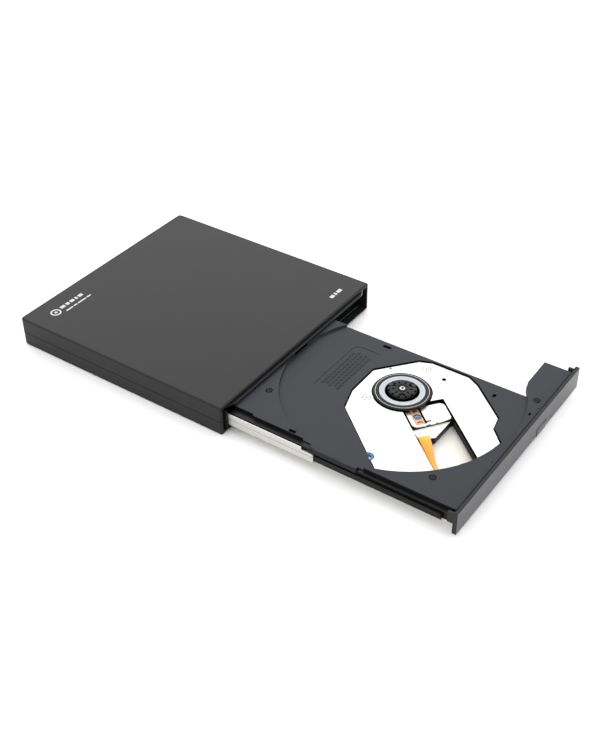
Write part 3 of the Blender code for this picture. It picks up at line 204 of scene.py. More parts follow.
def new_finish(name, base, roughness, metallic=0.0, **values):
    """A material with a Principled shader, its own coordinates and nothing else yet."""
    material = bpy.data.materials.new(name)
    material.use_nodes = True
    material.diffuse_color = (*base, 1.0)
    tree = material.node_tree
    tree.nodes.clear()
    shader = add_node(tree, "ShaderNodeBsdfPrincipled")
    shader.inputs["Base Color"].default_value = (*base, 1.0)
    shader.inputs["Roughness"].default_value = roughness
    shader.inputs["Metallic"].default_value = metallic
    for key, value in values.items():
        shader.inputs[key.replace("_", " ")].default_value = value
    add_node(tree, "ShaderNodeOutputMaterial", links={"Surface": shader.outputs[0]})
    place = add_node(tree, "ShaderNodeTexCoord").outputs["Object"]
    return material, tree, shader, place


def vary(tree, shader, place, base, amount, spread, grain, depth, rough, stretch):
    """Joins a slow colour drift, a fine roughness change and a bump to the shader.

    spread and grain are the real widths of the drift and the grain in metres, and depth is the grain's height.
    """
    drift = add_node(tree, "ShaderNodeTexNoise", {"Scale": 1 / spread, "Detail": 3.0}, {"Vector": place})
    darker = [c * (1 - amount) for c in base] + [1.0]
    lighter = [min(1.0, c * (1 + amount)) for c in base] + [1.0]
    tint = add_node(
        tree, "ShaderNodeMix", {6: darker, 7: lighter}, {0: drift.outputs["Fac"]}, data_type="RGBA"
    )
    tree.links.new(tint.outputs[2], shader.inputs["Base Color"])
    drawn = add_node(tree, "ShaderNodeMapping", {"Scale": stretch}, {"Vector": place})
    fine = add_node(
        tree, "ShaderNodeTexNoise", {"Scale": 1 / grain, "Detail": 2.0}, {"Vector": drawn.outputs["Vector"]}
    )
    level = add_node(
        tree, "ShaderNodeMapRange", {"To Min": rough[0], "To Max": rough[1]}, {"Value": fine.outputs["Fac"]}
    )
    tree.links.new(level.outputs["Result"], shader.inputs["Roughness"])
    bump = add_node(
        tree, "ShaderNodeBump", {"Strength": 1.0, "Distance": depth}, {"Height": fine.outputs["Fac"]}
    )
    tree.links.new(bump.outputs["Normal"], shader.inputs["Normal"])


FINISHES = {}


def once(maker):
    """Each finish is made the first time that a piece asks for it."""

    def found():
        if maker.__name__ not in FINISHES:
            FINISHES[maker.__name__] = maker()
        return FINISHES[maker.__name__]

    return found


def grained(name, colour, roughness, look, metallic=0.0, stretch=(1.0, 1.0, 1.0), **values):
    """A finish that only varies. look holds vary's amount, spread, grain, depth and range of roughness."""
    base = linear(colour) if isinstance(colour, str) else list(colour)
    material, tree, shader, place = new_finish(name, base, roughness, metallic, **values)
    vary(tree, shader, place, base, *look, stretch)
    return material


@once
def black_abs():
    """Injection-moulded ABS with a fine spark-eroded grain, which breaks the gloss into a soft sheen."""
    # The grain is about 0.12 mm wide on the real shell; 0.35 mm is the finest that shows.
    look = (0.10, 0.030, 0.00035, 0.000012, (0.38, 0.50))
    return grained("moulded_black_abs", settings().enclosure.shell, 0.42, look, Specular_IOR_Level=0.22)


@once
def tray_plastic():
    """Matte moulded polycarbonate blend with a slightly coarser grain than the shell's."""
    look = (0.09, 0.012, 0.00045, 0.000016, (0.48, 0.62))
    return grained("moulded_tray_plastic", settings().tray.plastic, 0.55, look, Specular_IOR_Level=0.22)


@once
def runner_plastic_and_painted_shade():
    """Self-lubricating acetal of the sliding runners: smooth, dark and a little waxy. It also serves as
    painted shade in the tray's channel, slot floors and opening walls and on the moulded marks.
    """
    look = (0.12, 0.010, 0.00060, 0.000006, (0.32, 0.42))
    return grained(
        "acetal_runner_and_painted_shade", settings().tray.runner, 0.38, look,
        Specular_IOR_Level=0.16, stretch=(1.0, 0.15, 1.0)
    )


@once
def bezel_face():
    """Satin painted face of the bezel: a smooth film with a faint orange peel."""
    look = (0.10, 0.014, 0.00080, 0.000006, (0.30, 0.40))
    return grained("satin_bezel_face", settings().bezel.face, 0.35, look, Specular_IOR_Level=0.5)


@once
def bezel_body():
    """Moulded ABS of the bezel's top, ends and back, matte from the tool."""
    look = (0.08, 0.012, 0.00040, 0.000012, (0.42, 0.54))
    return grained("moulded_bezel_abs", settings().bezel.back, 0.48, look, Specular_IOR_Level=0.22)


@once
def bright_plate():
    """Finely ground stainless sheet of the traverse: very pale, with faint lines from grinding."""
    # Grinding lines are about 0.05 mm apart; they are drawn 0.3 mm apart so that they show.
    look = (0.015, 0.020, 0.00030, 0.000002, (0.30, 0.42))
    return grained(
        "ground_stainless_plate", settings().metal.plate, 0.32, look,
        metallic=1.0, stretch=(1.0, 0.05, 1.0)
    )


@once
def rolled_steel():
    """Bright cold-rolled steel of the side rails, with rolling lines along their length."""
    look = (0.05, 0.008, 0.00030, 0.000004, (0.30, 0.45))
    return grained(
        "cold_rolled_steel", settings().metal.rail, 0.35, look,
        metallic=1.0, stretch=(1.0, 0.04, 1.0)
    )


@once
def zinc_sheet():
    """Zinc-plated sheet steel: grey, with the cloudy spangle that plating leaves."""
    look = (0.12, 0.004, 0.00050, 0.000004, (0.36, 0.50))
    return grained("zinc_plated_sheet", settings().metal.sheet, 0.42, look, metallic=1.0)


@once
def pale_sheet():
    """Pale lacquered sheet under the traverse, which scatters light up through the slot."""
    look = (0.05, 0.010, 0.00050, 0.000004, (0.50, 0.62))
    return grained("pale_lacquered_sheet", settings().metal.floor, 0.55, look)


@once
def black_steel():
    """Steel with a black finish: dark, with a dull metallic glint. It is also laid as painted shade on the
    pan, the plate's side walls, the far shaft and the rails' fold lines.
    """
    look = (0.12, 0.006, 0.00040, 0.000006, (0.38, 0.52))
    return grained(
        "blackened_steel", settings().metal.black, 0.45, look,
        metallic=0.25, Specular_IOR_Level=0.2
    )


@once
def bare_edge():
    """Bare sheared edge of the black top plate, where the cut shows clean steel."""
    look = (0.10, 0.003, 0.00025, 0.000006, (0.30, 0.45))
    return grained("bare_sheared_steel", "#d8d6d0", 0.35, look, metallic=1.0)


@once
def hub_plastic():
    """Black glass-filled plastic of the hub and its claws, slightly glossy where discs rub it."""
    look = (0.15, 0.002, 0.00035, 0.000010, (0.28, 0.42))
    return grained("glass_filled_hub_plastic", settings().spindle.hub, 0.36, look, Specular_IOR_Level=0.20)


@once
def ring_rubber():
    """Pale friction rubber with a dull, slightly dusty face."""
    look = (0.06, 0.002, 0.00030, 0.000010, (0.55, 0.70))
    return grained("pale_friction_rubber", settings().spindle.ring, 0.60, look)


@once
def copper_spring():
    """Beryllium copper springs and frame round the lens: warm, bright and softly brushed."""
    look = (0.25, 0.0012, 0.00030, 0.000006, (0.30, 0.48))
    return grained("copper_alloy_spring", settings().pickup.frame, 0.38, look, metallic=0.5)


@once
def coated_lens():
    """Moulded glass lens whose coating returns blue light."""
    look = (0.25, 0.0010, 0.00100, 0.000001, (0.05, 0.12))
    return grained(
        "coated_lens_glass", settings().pickup.lens, 0.08, look,
        Coat_Weight=1.0, Coat_Roughness=0.03
    )


@once
def orange_film():
    """Orange polyimide film over copper tracks: glossy, with the tracks as darker lines along it."""
    base = list(settings().pickup.film)
    coat = {"Coat_Weight": 0.3, "Coat_Roughness": 0.2}
    material, tree, shader, place = new_finish("polyimide_film", base, 0.35, **coat)
    angle = math.atan2(ALONG.y, ALONG.x)
    turned = add_node(tree, "ShaderNodeMapping", {"Rotation": (0.0, 0.0, -angle)}, {"Vector": place})
    # Tracks are 0.5 mm apart; a pair is drawn every 0.9 mm.
    tracks = add_node(
        tree,
        "ShaderNodeTexWave",
        {"Scale": 1 / (0.0009 * 20), "Distortion": 0.0},
        {"Vector": turned.outputs["Vector"]},
        wave_type="BANDS",
        bands_direction="Y",
    )
    darker = [base[0] * 0.93, base[1] * 0.80, base[2] * 0.6, 1.0]
    tint = add_node(
        tree, "ShaderNodeMix", {6: (*base, 1.0), 7: darker}, {0: tracks.outputs["Fac"]}, data_type="RGBA"
    )
    tree.links.new(tint.outputs[2], shader.inputs["Base Color"])
    return material


@once
def blue_rubber():
    """Soft blue silicone of the vibration dampers."""
    look = (0.10, 0.003, 0.00040, 0.000008, (0.40, 0.55))
    return grained("blue_silicone_rubber", "#2c6a9c", 0.45, look, Coat_Weight=0.1)


@once
def foot_rubber():
    """Black rubber of the feet, matte and faintly speckled. It is also laid as painted shade in the sunk line
    of the bezel's top.
    """
    return grained("rubber_feet_and_painted_shade", "#161617", 0.80, (0.20, 0.002, 0.00040, 0.000020, (0.72, 0.88)))


@once
def tarnished_recess():
    """Passivated steel of the pressed rings, where the grinding never reached: a dull, dark tan."""
    look = (0.12, 0.002, 0.00030, 0.000004, (0.45, 0.58))
    return grained("passivated_steel_recess", "#8c7966", 0.60, look, Specular_IOR_Level=0.2)


@once
def die_cast_black_and_painted_shade():
    """Blackened zinc die casting of the sled: dark and faintly orange-peeled. Its black also stands as painted
    shade in the gap beside the pickup cover.
    """
    look = (0.20, 0.003, 0.00045, 0.000014, (0.36, 0.50))
    return grained("blackened_die_casting_and_painted_shade", "#141415", 0.42, look, metallic=0.1, Specular_IOR_Level=0.2)


@once
def solder_mask():
    """Green solder mask over copper: tracks show through as paler lines in a square layout."""
    base = linear("#06140c")
    coat = {"Coat_Weight": 0.4, "Coat_Roughness": 0.15}
    material, tree, shader, place = new_finish("green_solder_mask", base, 0.35, **coat)
    # Tracks are about 0.3 mm wide on a 2 mm layout.
    tracks = add_node(
        tree,
        "ShaderNodeTexBrick",
        {
            "Scale": 1.0,
            "Brick Width": 0.0060,
            "Row Height": 0.0016,
            "Mortar Size": 0.00018,
            "Color1": (*base, 1.0),
            "Color2": (*[c * 0.85 for c in base], 1.0),
            "Mortar": (*linear("#12301c"), 1.0),
        },
        {"Vector": place},
    )
    tree.links.new(tracks.outputs["Color"], shader.inputs["Base Color"])
    return material


@once
def chip_resin():
    """Black epoxy of chips and connector bodies, finely matte."""
    return grained("moulded_black_epoxy", "#1a1a1b", 0.55, (0.15, 0.003, 0.00030, 0.000010, (0.48, 0.62)))


@once
def tinned_copper():
    """Tinned copper of pins and contacts."""
    look = (0.08, 0.002, 0.00040, 0.000004, (0.24, 0.38))
    return grained("tinned_copper", "#d9d4c4", 0.30, look, metallic=1.0)


@once
def enamelled_copper():
    """Enamelled copper wire of the motor windings, seen as close-laid turns."""
    look = (0.25, 0.001, 0.00025, 0.000030, (0.24, 0.36))
    return grained("enamelled_copper_wire", "#8c4a22", 0.30, look, metallic=0.8, stretch=(1.0, 1.0, 0.2))


@once
def lamp_plastic():
    """Clear acrylic light pipe that looks dark until it is lit."""
    look = (0.10, 0.002, 0.00100, 0.000001, (0.12, 0.18))
    return grained("clear_acrylic_lamp", "#2f3a33", 0.15, look, Coat_Weight=0.5)


@once
def screen_ink():
    """White screen-printed ink, flat and a little uneven at the mesh's scale."""
    look = (0.04, 0.004, 0.00030, 0.000004, (0.55, 0.68))
    return grained("white_screen_ink", settings().enclosure.ink, 0.60, look)


# ---------------------------------------------------------------- shapes
def arc(centre, radius, start, end, steps):
    """Points on a circle from one angle to another, in degrees."""
    angles = [math.radians(start + (end - start) * step / steps) for step in range(steps + 1)]
    return [(centre[0] + radius * math.cos(a), centre[1] + radius * math.sin(a)) for a in angles]


def box(low, high, shape=None):
    """A block between two corners, added to the shape if one is given."""
    shape = shape or bmesh.new()
    made = bmesh.ops.create_cube(shape, size=1.0)["verts"]
    low, high = Vector(low), Vector(high)
    bmesh.ops.scale(shape, vec=high - low, verts=made)
    bmesh.ops.translate(shape, vec=(low + high) / 2, verts=made)
    return shape


def prism(outline, low, high, shape=None):
    """A flat outline, which runs anticlockwise, between two heights."""
    shape = shape or bmesh.new()
    face = shape.faces.new([shape.verts.new((x, y, low)) for x, y in outline])
    made = bmesh.ops.extrude_face_region(shape, geom=[face])["geom"]
    raised = [item for item in made if isinstance(item, bmesh.types.BMVert)]
    bmesh.ops.translate(shape, vec=(0, 0, high - low), verts=raised)
    bmesh.ops.recalc_face_normals(shape, faces=shape.faces)
    return shape


def rod(start, end, radius, steps=32, shape=None, tip=None):
    """A round bar between two points, with another radius at its far end if tip is given."""
    shape = shape or bmesh.new()
    start, end = Vector(start), Vector(end)
    turn = (end - start).to_track_quat("Z", "Y").to_matrix().to_4x4()
    bmesh.ops.create_cone(
        shape,
        cap_ends=True,
        segments=steps,
        radius1=radius,
        radius2=radius if tip is None else tip,
        depth=(end - start).length,
        matrix=Matrix.Translation((start + end) / 2) @ turn,
    )
    return shape


def turned(profile, centre, steps=96, shape=None):
    """A profile of (radius, height) pairs turned about a vertical line. A profile off the line is a ring."""
    shape = shape or bmesh.new()
    points = [shape.verts.new((centre[0] + radius, centre[1], height)) for radius, height in profile]
    ring = all(radius > 0.0 for radius, _ in profile)
    pairs = list(zip(points, points[1:] + points[:1]))
    edges = [shape.edges.new(pair) for pair in (pairs if ring else pairs[:-1])]
    bmesh.ops.spin(
        shape,
        geom=points + edges,
        cent=(centre[0], centre[1], 0.0),
        axis=(0.0, 0.0, 1.0),
        angle=math.tau,
        steps=steps,
    )
    bmesh.ops.remove_doubles(shape, verts=shape.verts, dist=TINY)
    bmesh.ops.recalc_face_normals(shape, faces=shape.faces)
    return shape


def rejoin_flats(shape):
    """Makes one face of the neighbours that lie within a degree of each other."""
    limit = math.radians(1.0)
    bmesh.ops.dissolve_limit(
        shape, angle_limit=limit, use_dissolve_boundaries=False, verts=shape.verts, edges=shape.edges
    )


def copy_of(node):
    """A copy of a CAD node with its loose triangles merged and its flat faces rejoined."""
    shape = bmesh.new()
    shape.from_mesh(frame["nodes"][node].data)
    bmesh.ops.remove_doubles(shape, verts=shape.verts, dist=MERGE)
    bmesh.ops.dissolve_degenerate(shape, edges=shape.edges, dist=TINY)
    rejoin_flats(shape)
    return shape


def solid(name, shape):
    """An object of this shape, at the origin."""
    mesh = bpy.data.meshes.new(name)
    shape.to_mesh(mesh)
    shape.free()
    piece = bpy.data.objects.new(name, mesh)
    bpy.context.scene.collection.objects.link(piece)
    return piece


def settle(piece):
    """Turns what the piece's modifiers make into its plain mesh."""
    graph = bpy.context.evaluated_depsgraph_get()
    mesh = bpy.data.meshes.new_from_object(piece.evaluated_get(graph))
    piece.modifiers.clear()
    piece.data = mesh
    mesh.name = piece.name
    return piece


def carved(piece, shape, operation="DIFFERENCE"):
    """The piece less this shape, or joined to it or kept inside it."""
    cutter = solid("cutter", shape)
    boolean = piece.modifiers.new("carve", "BOOLEAN")
    boolean.operation = operation
    boolean.solver = "EXACT"
    boolean.object = cutter
    settle(piece)
    bpy.data.objects.remove(cutter)
    if not piece.data.polygons:
        raise RuntimeError(f"{piece.name} was carved away")
    return piece


def joined(piece, shape):
    return carved(piece, shape, "UNION")


def eased(piece, width, segments=2, sharper=40.0):
    """Rounds the piece's sharp edges. Steps too small to show are merged first, as they would limit it."""
    shape = bmesh.new()
    shape.from_mesh(piece.data)
    bmesh.ops.remove_doubles(shape, verts=shape.verts, dist=MERGE)
    rejoin_flats(shape)
    shape.to_mesh(piece.data)
    shape.free()
    bevel = piece.modifiers.new("eased_edges", "BEVEL")
    bevel.width = width
    bevel.segments = segments
    bevel.limit_method = "ANGLE"
    bevel.angle_limit = math.radians(sharper)
    bevel.harden_normals = False
    return settle(piece)


def shaded(piece, angle=50.0):
    """Smooth shading in which the large faces stay flat and only the rounded edges turn."""
    piece.data.shade_smooth()
    piece.data.set_sharp_from_angle(angle=math.radians(angle))
    normals = piece.modifiers.new("flat_faces", "WEIGHTED_NORMAL")
    normals.weight = 90
    normals.keep_sharp = True
    return settle(piece)


def place_piece(piece, body, finish, stands_for=(), angle=50.0):
    """Gives the piece its finish, its body and the CAD nodes that it stands for."""
    if finish is not None:
        piece.data.materials.clear()
        piece.data.materials.append(finish)
    shaded(piece, angle)
    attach(piece, body)
    if stands_for:
        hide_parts(*stands_for)
    return piece


def middle_of(node):
    low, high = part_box(node)
    return (low + high) / 2


def half_width(node):
    low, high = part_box(node)
    return (high.x - low.x) / 2


def band(inner, outer, low, high):
    """The profile of a square-edged ring, for turned()."""
    return [(inner, high), (outer, high), (outer, low), (inner, low)]


def body_of(node):
    return frame["nodes"][node]["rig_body"]


def refined(node, finish, width=0.00012, segments=2, extra=None):
    """A CAD node's piece with eased edges and its real finish. extra may carve the copy first."""
    piece = solid(node + "_fine", copy_of(node))
    if extra:
        extra(piece)
    eased(piece, width, segments)
    return place_piece(piece, body_of(node), finish, (node,))


def paint_faces(piece, finish, chosen):
    """Gives a second finish to the faces that chosen(centre, normal) picks."""
    piece.data.materials.append(finish)
    index = len(piece.data.materials) - 1
    for face in piece.data.polygons:
        if chosen(face.center, face.normal):
            face.material_index = index


def by_pickup(along, across, height=0.0):
    """A place from its distance along and across the pickup's path, which starts at the spindle."""
    place = SPINDLE + ALONG * along + ACROSS * across
    place.z = height
    return place


def pickup_outline(corners):
    return [tuple(by_pickup(*corner).xy) for corner in corners]


def pickup_quad(along, across):
    return pickup_outline(
        ((along[0], across[0]), (along[1], across[0]), (along[1], across[1]), (along[0], across[1]))
    )


def on_tray(x, setback):
    """A place on the tray from its distance behind the bezel's front face."""
    return (x, BEZEL_LOW.y + setback)


# ---------------------------------------------------------------- node trees for what repeats
def new_tree(name, inputs):
    """A geometry tree with a geometry input and output, and these named inputs of (kind, default)."""
    tree = bpy.data.node_groups.new(name, "GeometryNodeTree")
    tree.interface.new_socket("Geometry", in_out="INPUT", socket_type="NodeSocketGeometry")
    for label, (kind, default) in inputs.items():
        socket = tree.interface.new_socket(label, in_out="INPUT", socket_type="NodeSocket" + kind)
        if default is not None:
            socket.default_value = default
    tree.interface.new_socket("Geometry", in_out="OUTPUT", socket_type="NodeSocketGeometry")
    start = add_node(tree, "NodeGroupInput")
    return tree, start.outputs


def end_tree(tree, geometry, finish):
    """Ends a tree in real geometry with its material."""
    real = add_node(tree, "GeometryNodeRealizeInstances", links={"Geometry": geometry})
    links = {"Geometry": real.outputs[0], "Material": finish}
    painted = add_node(tree, "GeometryNodeSetMaterial", links=links)
    add_node(tree, "NodeGroupOutput", links={0: painted.outputs[0]})
    return tree


def times(tree, value, factor):
    """A value in a tree multiplied by a fixed factor."""
    return add_node(tree, "ShaderNodeMath", {1: factor}, {0: value}, operation="MULTIPLY").outputs[0]


def row_tree():
    """Blocks of one size along a straight line: pins, contacts, ribs and moulded marks."""
    tree, given = new_tree(
        "row_of_blocks",
        {
            "Count": ("Int", 4),
            "Start": ("Vector", (0.0, 0.0, 0.0)),
            "Step": ("Vector", (0.001, 0.0, 0.0)),
            "Block": ("Vector", (0.0005, 0.0005, 0.0005)),
            "Finish": ("Material", None),
        },
    )
    links = {"Count": given["Count"], "Start Location": given["Start"], "Offset": given["Step"]}
    line = add_node(tree, "GeometryNodeMeshLine", links=links, mode="OFFSET")
    block = add_node(tree, "GeometryNodeMeshCube", links={"Size": given["Block"]})
    links = {"Points": line.outputs[0], "Instance": block.outputs[0]}
    copies = add_node(tree, "GeometryNodeInstanceOnPoints", links=links)
    return end_tree(tree, copies.outputs[0], given["Finish"])


def screw_tree():
    """Cross-head screws, one on each point of the mesh that it is given."""
    tree, given = new_tree(
        "cross_head_screws",
        {
            "Head radius": ("Float", 0.0013),
            "Head height": ("Float", 0.0005),
            "Slot width": ("Float", 0.0003),
            "Finish": ("Material", None),
        },
    )
    top = times(tree, given["Head radius"], 0.82)
    links = {"Radius Bottom": given["Head radius"], "Radius Top": top, "Depth": given["Head height"]}
    head = add_node(tree, "GeometryNodeMeshCone", {"Vertices": 28, "Side Segments": 1}, links)
    long = times(tree, given["Head radius"], 1.25)
    deep = times(tree, given["Head height"], 1.1)
    lift = add_node(tree, "ShaderNodeCombineXYZ", links={"Z": given["Head height"]})
    arms = []
    for run, over in ("XY", "YX"):
        links = {run: long, over: given["Slot width"], "Z": deep}
        arm = add_node(tree, "ShaderNodeCombineXYZ", links=links)
        cube = add_node(tree, "GeometryNodeMeshCube", links={"Size": arm.outputs[0]})
        links = {"Geometry": cube.outputs[0], "Translation": lift.outputs[0]}
        arms.append(add_node(tree, "GeometryNodeTransform", links=links))
    links = {"Mesh 1": head.outputs[0]}
    slotted = add_node(tree, "GeometryNodeMeshBoolean", links=links, operation="DIFFERENCE")
    for arm in arms:
        tree.links.new(arm.outputs[0], slotted.inputs["Mesh 2"])
    links = {"Points": given["Geometry"], "Instance": slotted.outputs[0]}
    copies = add_node(tree, "GeometryNodeInstanceOnPoints", {"Rotation": (0.0, 0.0, 0.5)}, links)
    return end_tree(tree, copies.outputs[0], given["Finish"])


def ring_tree():
    """Blocks of one size set round a circle, each turned to face outwards."""
    tree, given = new_tree(
        "ring_of_blocks",
        {
            "Count": ("Int", 12),
            "Radius": ("Float", 0.006),
            "Block": ("Vector", (0.001, 0.001, 0.001)),
            "Place": ("Vector", (0.0, 0.0, 0.0)),
            "Turn": ("Vector", (0.0, 0.0, 0.0)),
            "Finish": ("Material", None),
        },
    )
    links = {"Vertices": given["Count"], "Radius": given["Radius"]}
    circle = add_node(tree, "GeometryNodeMeshCircle", links=links)
    block = add_node(tree, "GeometryNodeMeshCube", links={"Size": given["Block"]})
    place = add_node(tree, "GeometryNodeInputPosition")
    facing = add_node(tree, "FunctionNodeAlignRotationToVector", links={"Vector": place.outputs[0]}, axis="X")
    links = {"Points": circle.outputs[0], "Instance": block.outputs[0], "Rotation": facing.outputs[0]}
    copies = add_node(tree, "GeometryNodeInstanceOnPoints", links=links)
    links = {"Geometry": copies.outputs[0], "Translation": given["Place"], "Rotation": given["Turn"]}
    placed = add_node(tree, "GeometryNodeTransform", links=links)
    return end_tree(tree, placed.outputs[0], given["Finish"])


def thread_tree():
    """A screw shaft along +Z: a core with one ridge wound round it."""
    tree, given = new_tree(
        "wound_thread",
        {
            "Length": ("Float", 0.045),
            "Core": ("Float", 0.0009),
            "Ridge": ("Float", 0.00028),
            "Turns": ("Float", 15.0),
            "Finish": ("Material", None),
        },
    )
    radius, length = given["Core"], given["Length"]
    links = {"Rotations": given["Turns"], "Start Radius": radius, "End Radius": radius, "Height": length}
    path = add_node(tree, "GeometryNodeCurveSpiral", {"Resolution": 20}, links)
    links = {"Radius": given["Ridge"]}
    profile = add_node(tree, "GeometryNodeCurvePrimitiveCircle", {"Resolution": 6}, links, mode="RADIUS")
    links = {"Curve": path.outputs[0], "Profile Curve": profile.outputs[0]}
    ridge = add_node(tree, "GeometryNodeCurveToMesh", {"Fill Caps": True}, links)
    links = {"Radius": given["Core"], "Depth": given["Length"]}
    core = add_node(tree, "GeometryNodeMeshCylinder", {"Vertices": 24}, links)
    lift = add_node(tree, "ShaderNodeCombineXYZ", links={"Z": times(tree, given["Length"], 0.5)})
    links = {"Geometry": core.outputs[0], "Translation": lift.outputs[0]}
    raised = add_node(tree, "GeometryNodeTransform", links=links)
    both = add_node(tree, "GeometryNodeJoinGeometry")
    for part in (ridge, raised):
        tree.links.new(part.outputs[0], both.inputs[0])
    return end_tree(tree, both.outputs[0], given["Finish"])


def made_by(tree_maker, name, inputs, points=(), place=None):
    """Runs a tree on a mesh of these points and keeps what it makes as a plain mesh, which place moves."""
    tree = bpy.data.node_groups.get(tree_maker.__name__) or tree_maker()
    tree.name = tree_maker.__name__
    mesh = bpy.data.meshes.new(name)
    mesh.from_pydata([tuple(point) for point in points], [], [])
    piece = bpy.data.objects.new(name, mesh)
    bpy.context.scene.collection.objects.link(piece)
    nodes = piece.modifiers.new("repeat", "NODES")
    nodes.node_group = tree
    sockets = {item.name: item.identifier for item in tree.interface.items_tree if item.in_out == "INPUT"}
    for label, value in inputs.items():
        nodes[sockets[label]] = value
    settle(piece)
    if place is not None:
        piece.data.transform(place)
    return piece


# ---------------------------------------------------------------- enclosure
CLEARANCE = 0.0003
BOSS_RADIUS = 0.0024
SCREW_HOLE = 0.0014
SCREW_SINK = 0.0023


def case_block(name, low, high):
    """A slice of the enclosure's rounded block, square at the front and rounded at the rear corners."""
    given = settings().enclosure
    half = CASE_HIGH.x
    radius = given.corner_radius
    outline = [(-half, CASE_LOW.y), (half, CASE_LOW.y)]
    outline += arc((half - radius, CASE_HIGH.y - radius), radius, 0, 90, 10)
    outline += arc((radius - half, CASE_HIGH.y - radius), radius, 90, 180, 10)
    block = solid(name, prism(outline, CASE_LOW.z, CASE_HIGH.z))
    eased(block, given.edge_radius, 5, 60.0)
    margin = 0.01
    slab = box((-half - margin, CASE_LOW.y - margin, low), (half + margin, CASE_HIGH.y + margin, high))
    return carved(block, slab, "INTERSECT")


def hollow_cover(cover):
    """Takes the drive's bay and the two socket openings out of a cover."""
    given = settings().enclosure
    half = CASE_HIGH.x - given.side_wall
    bay = box(
        (-half, CASE_LOW.y - 0.01, given.bottom_wall),
        (half, CASE_HIGH.y - given.side_wall, CASE_HIGH.z - given.top_wall),
    )
    carved(cover, bay)
    for node in ("mini_usb_socket", "dc_jack"):
        low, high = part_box(node)
        grow = Vector((CLEARANCE, 0.003, CLEARANCE))
        carved(cover, box(low - grow, high + grow))


PRINT_DEPTH = 0.00006
# Each row of printed bars: left end, lower edge, gap, height and the length of each bar.
PRINT_ROWS = (
    (-0.0480, CASE_HIGH.y - 0.0128, 0.0010, 0.0022, (0.0032, 0.0022, 0.0028, 0.0016, 0.0030)),
    (-0.0480, CASE_HIGH.y - 0.0166, 0.0007, 0.0010, (0.0050, 0.0026, 0.0062, 0.0030)),
    (0.0430, CASE_LOW.y + 0.0082, 0.0010, 0.0022, (0.0030, 0.0015, 0.0036)),
)


def printed_bars():
    """Outlines of the plain printed bars beside the disc glyph and at the front corner."""
    bars = []
    for left, low, gap, height, lengths in PRINT_ROWS:
        for length in lengths:
            right, high = left + length, low + height
            bars.append([(left, low), (right, low), (right, high), (left, high)])
            left += length + gap
    return bars


def add_print_marks(cover):
    """Ink sits flush in a shallow pocket, so that it neither stands proud nor flickers on the cover."""
    top = CASE_HIGH.z
    centre = (-0.0525, CASE_HIGH.y - 0.0125)
    low, high = top - PRINT_DEPTH, top - EPS
    ink = turned([(0.0030, high), (0.0030, low), (0.0021, low), (0.0021, high)], centre, 48)
    turned(band(0.0, 0.0009, low, high), centre, 24, ink)
    for outline in printed_bars():
        prism(outline, low, high, ink)
    cutter = ink.copy()
    for vertex in cutter.verts:
        if vertex.co.z > top - PRINT_DEPTH / 2:
            vertex.co.z = top + PRINT_DEPTH
    carved(cover, cutter)
    place_piece(solid("printed_marks", ink), "enclosure", screen_ink())


def pillar(place, low, high, radius, steps):
    """An upright rod at a place, between two heights."""
    return rod((place.x, place.y, low), (place.x, place.y, high), radius, steps)


def build_enclosure():
    """Both covers with their screw bosses, foot pockets and printed marks."""
    far = 0.01
    top = case_block("top_shell", PARTING[1], CASE_HIGH.z + far)
    bottom = case_block("bottom_shell", CASE_LOW.z - far, PARTING[0])
    for cover in (top, bottom):
        hollow_cover(cover)
    given = settings().enclosure
    wall = given.bottom_wall
    for side in SIDES:
        place = middle_of("case_screw_" + side)
        joined(top, pillar(place, wall + CLEARANCE, CASE_HIGH.z - given.top_wall / 2, BOSS_RADIUS, 40))
        carved(top, pillar(place, 0.0, PARTING[1], SCREW_HOLE, 32))
        carved(bottom, pillar(place, -far, far, SCREW_HOLE, 32))
        carved(bottom, pillar(place, -far, wall - CLEARANCE, SCREW_SINK, 40))
    for node in FEET:
        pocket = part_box(node)[1].z + CLEARANCE
        carved(bottom, pillar(middle_of(node), -far, pocket, half_width(node) + CLEARANCE, 48))
    add_print_marks(top)
    place_piece(top, "enclosure", black_abs(), ("top_cover",))
    place_piece(bottom, "enclosure", black_abs(), ("bottom_cover",))
    build_feet()
    build_case_screws()


SIDES = ("left", "right")
FEET = [f"rubber_foot_{end}_{side}" for end in ("front", "rear") for side in SIDES]


def build_feet():
    """Each foot is a domed disc with a shallow ring pressed into its underside."""
    for node in FEET:
        low, high = (corner.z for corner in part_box(node))
        radius = half_width(node)
        sunk = low + 0.00015
        profile = [(0.0, high), (radius, high), (radius, low + 0.0003), (radius - 0.0003, low)]
        profile += [(radius * 0.72, low), (radius * 0.68, sunk), (radius * 0.56, sunk), (radius * 0.52, low)]
        profile.append((0.0, low))
        foot = solid(node + "_fine", turned(profile, middle_of(node), 64))
        place_piece(foot, "enclosure", foot_rubber(), (node,))


def build_case_screws():
    """Case screws: a countersunk head with a cross slot, seen from below."""
    shank = 0.0011
    for side in SIDES:
        node = "case_screw_" + side
        low, high = (corner.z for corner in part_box(node))
        middle = middle_of(node)
        radius = half_width(node)
        neck = low + 0.0010
        profile = [(0.0, high), (shank * 0.4, high), (shank, high - 0.0008), (shank, neck)]
        profile += [(radius, neck - 0.0001), (radius, low + 0.0002), (radius - 0.0003, low), (0.0, low)]
        screw = solid(node + "_fine", turned(profile, middle, 40))
        for turn in (0.4, 0.4 + math.pi / 2):
            arm = box((-0.0012, -0.00022, low - 0.001), (0.0012, 0.00022, low + 0.0006))
            place = Matrix.Translation((middle.x, middle.y, 0.0)) @ Matrix.Rotation(turn, 4, "Z")
            bmesh.ops.transform(arm, matrix=place, verts=arm.verts)
            carved(screw, arm)
        place_piece(screw, "enclosure", black_steel(), (node,))


# ---------------------------------------------------------------- drive body and side rails
BARE_FROM = 0.0320


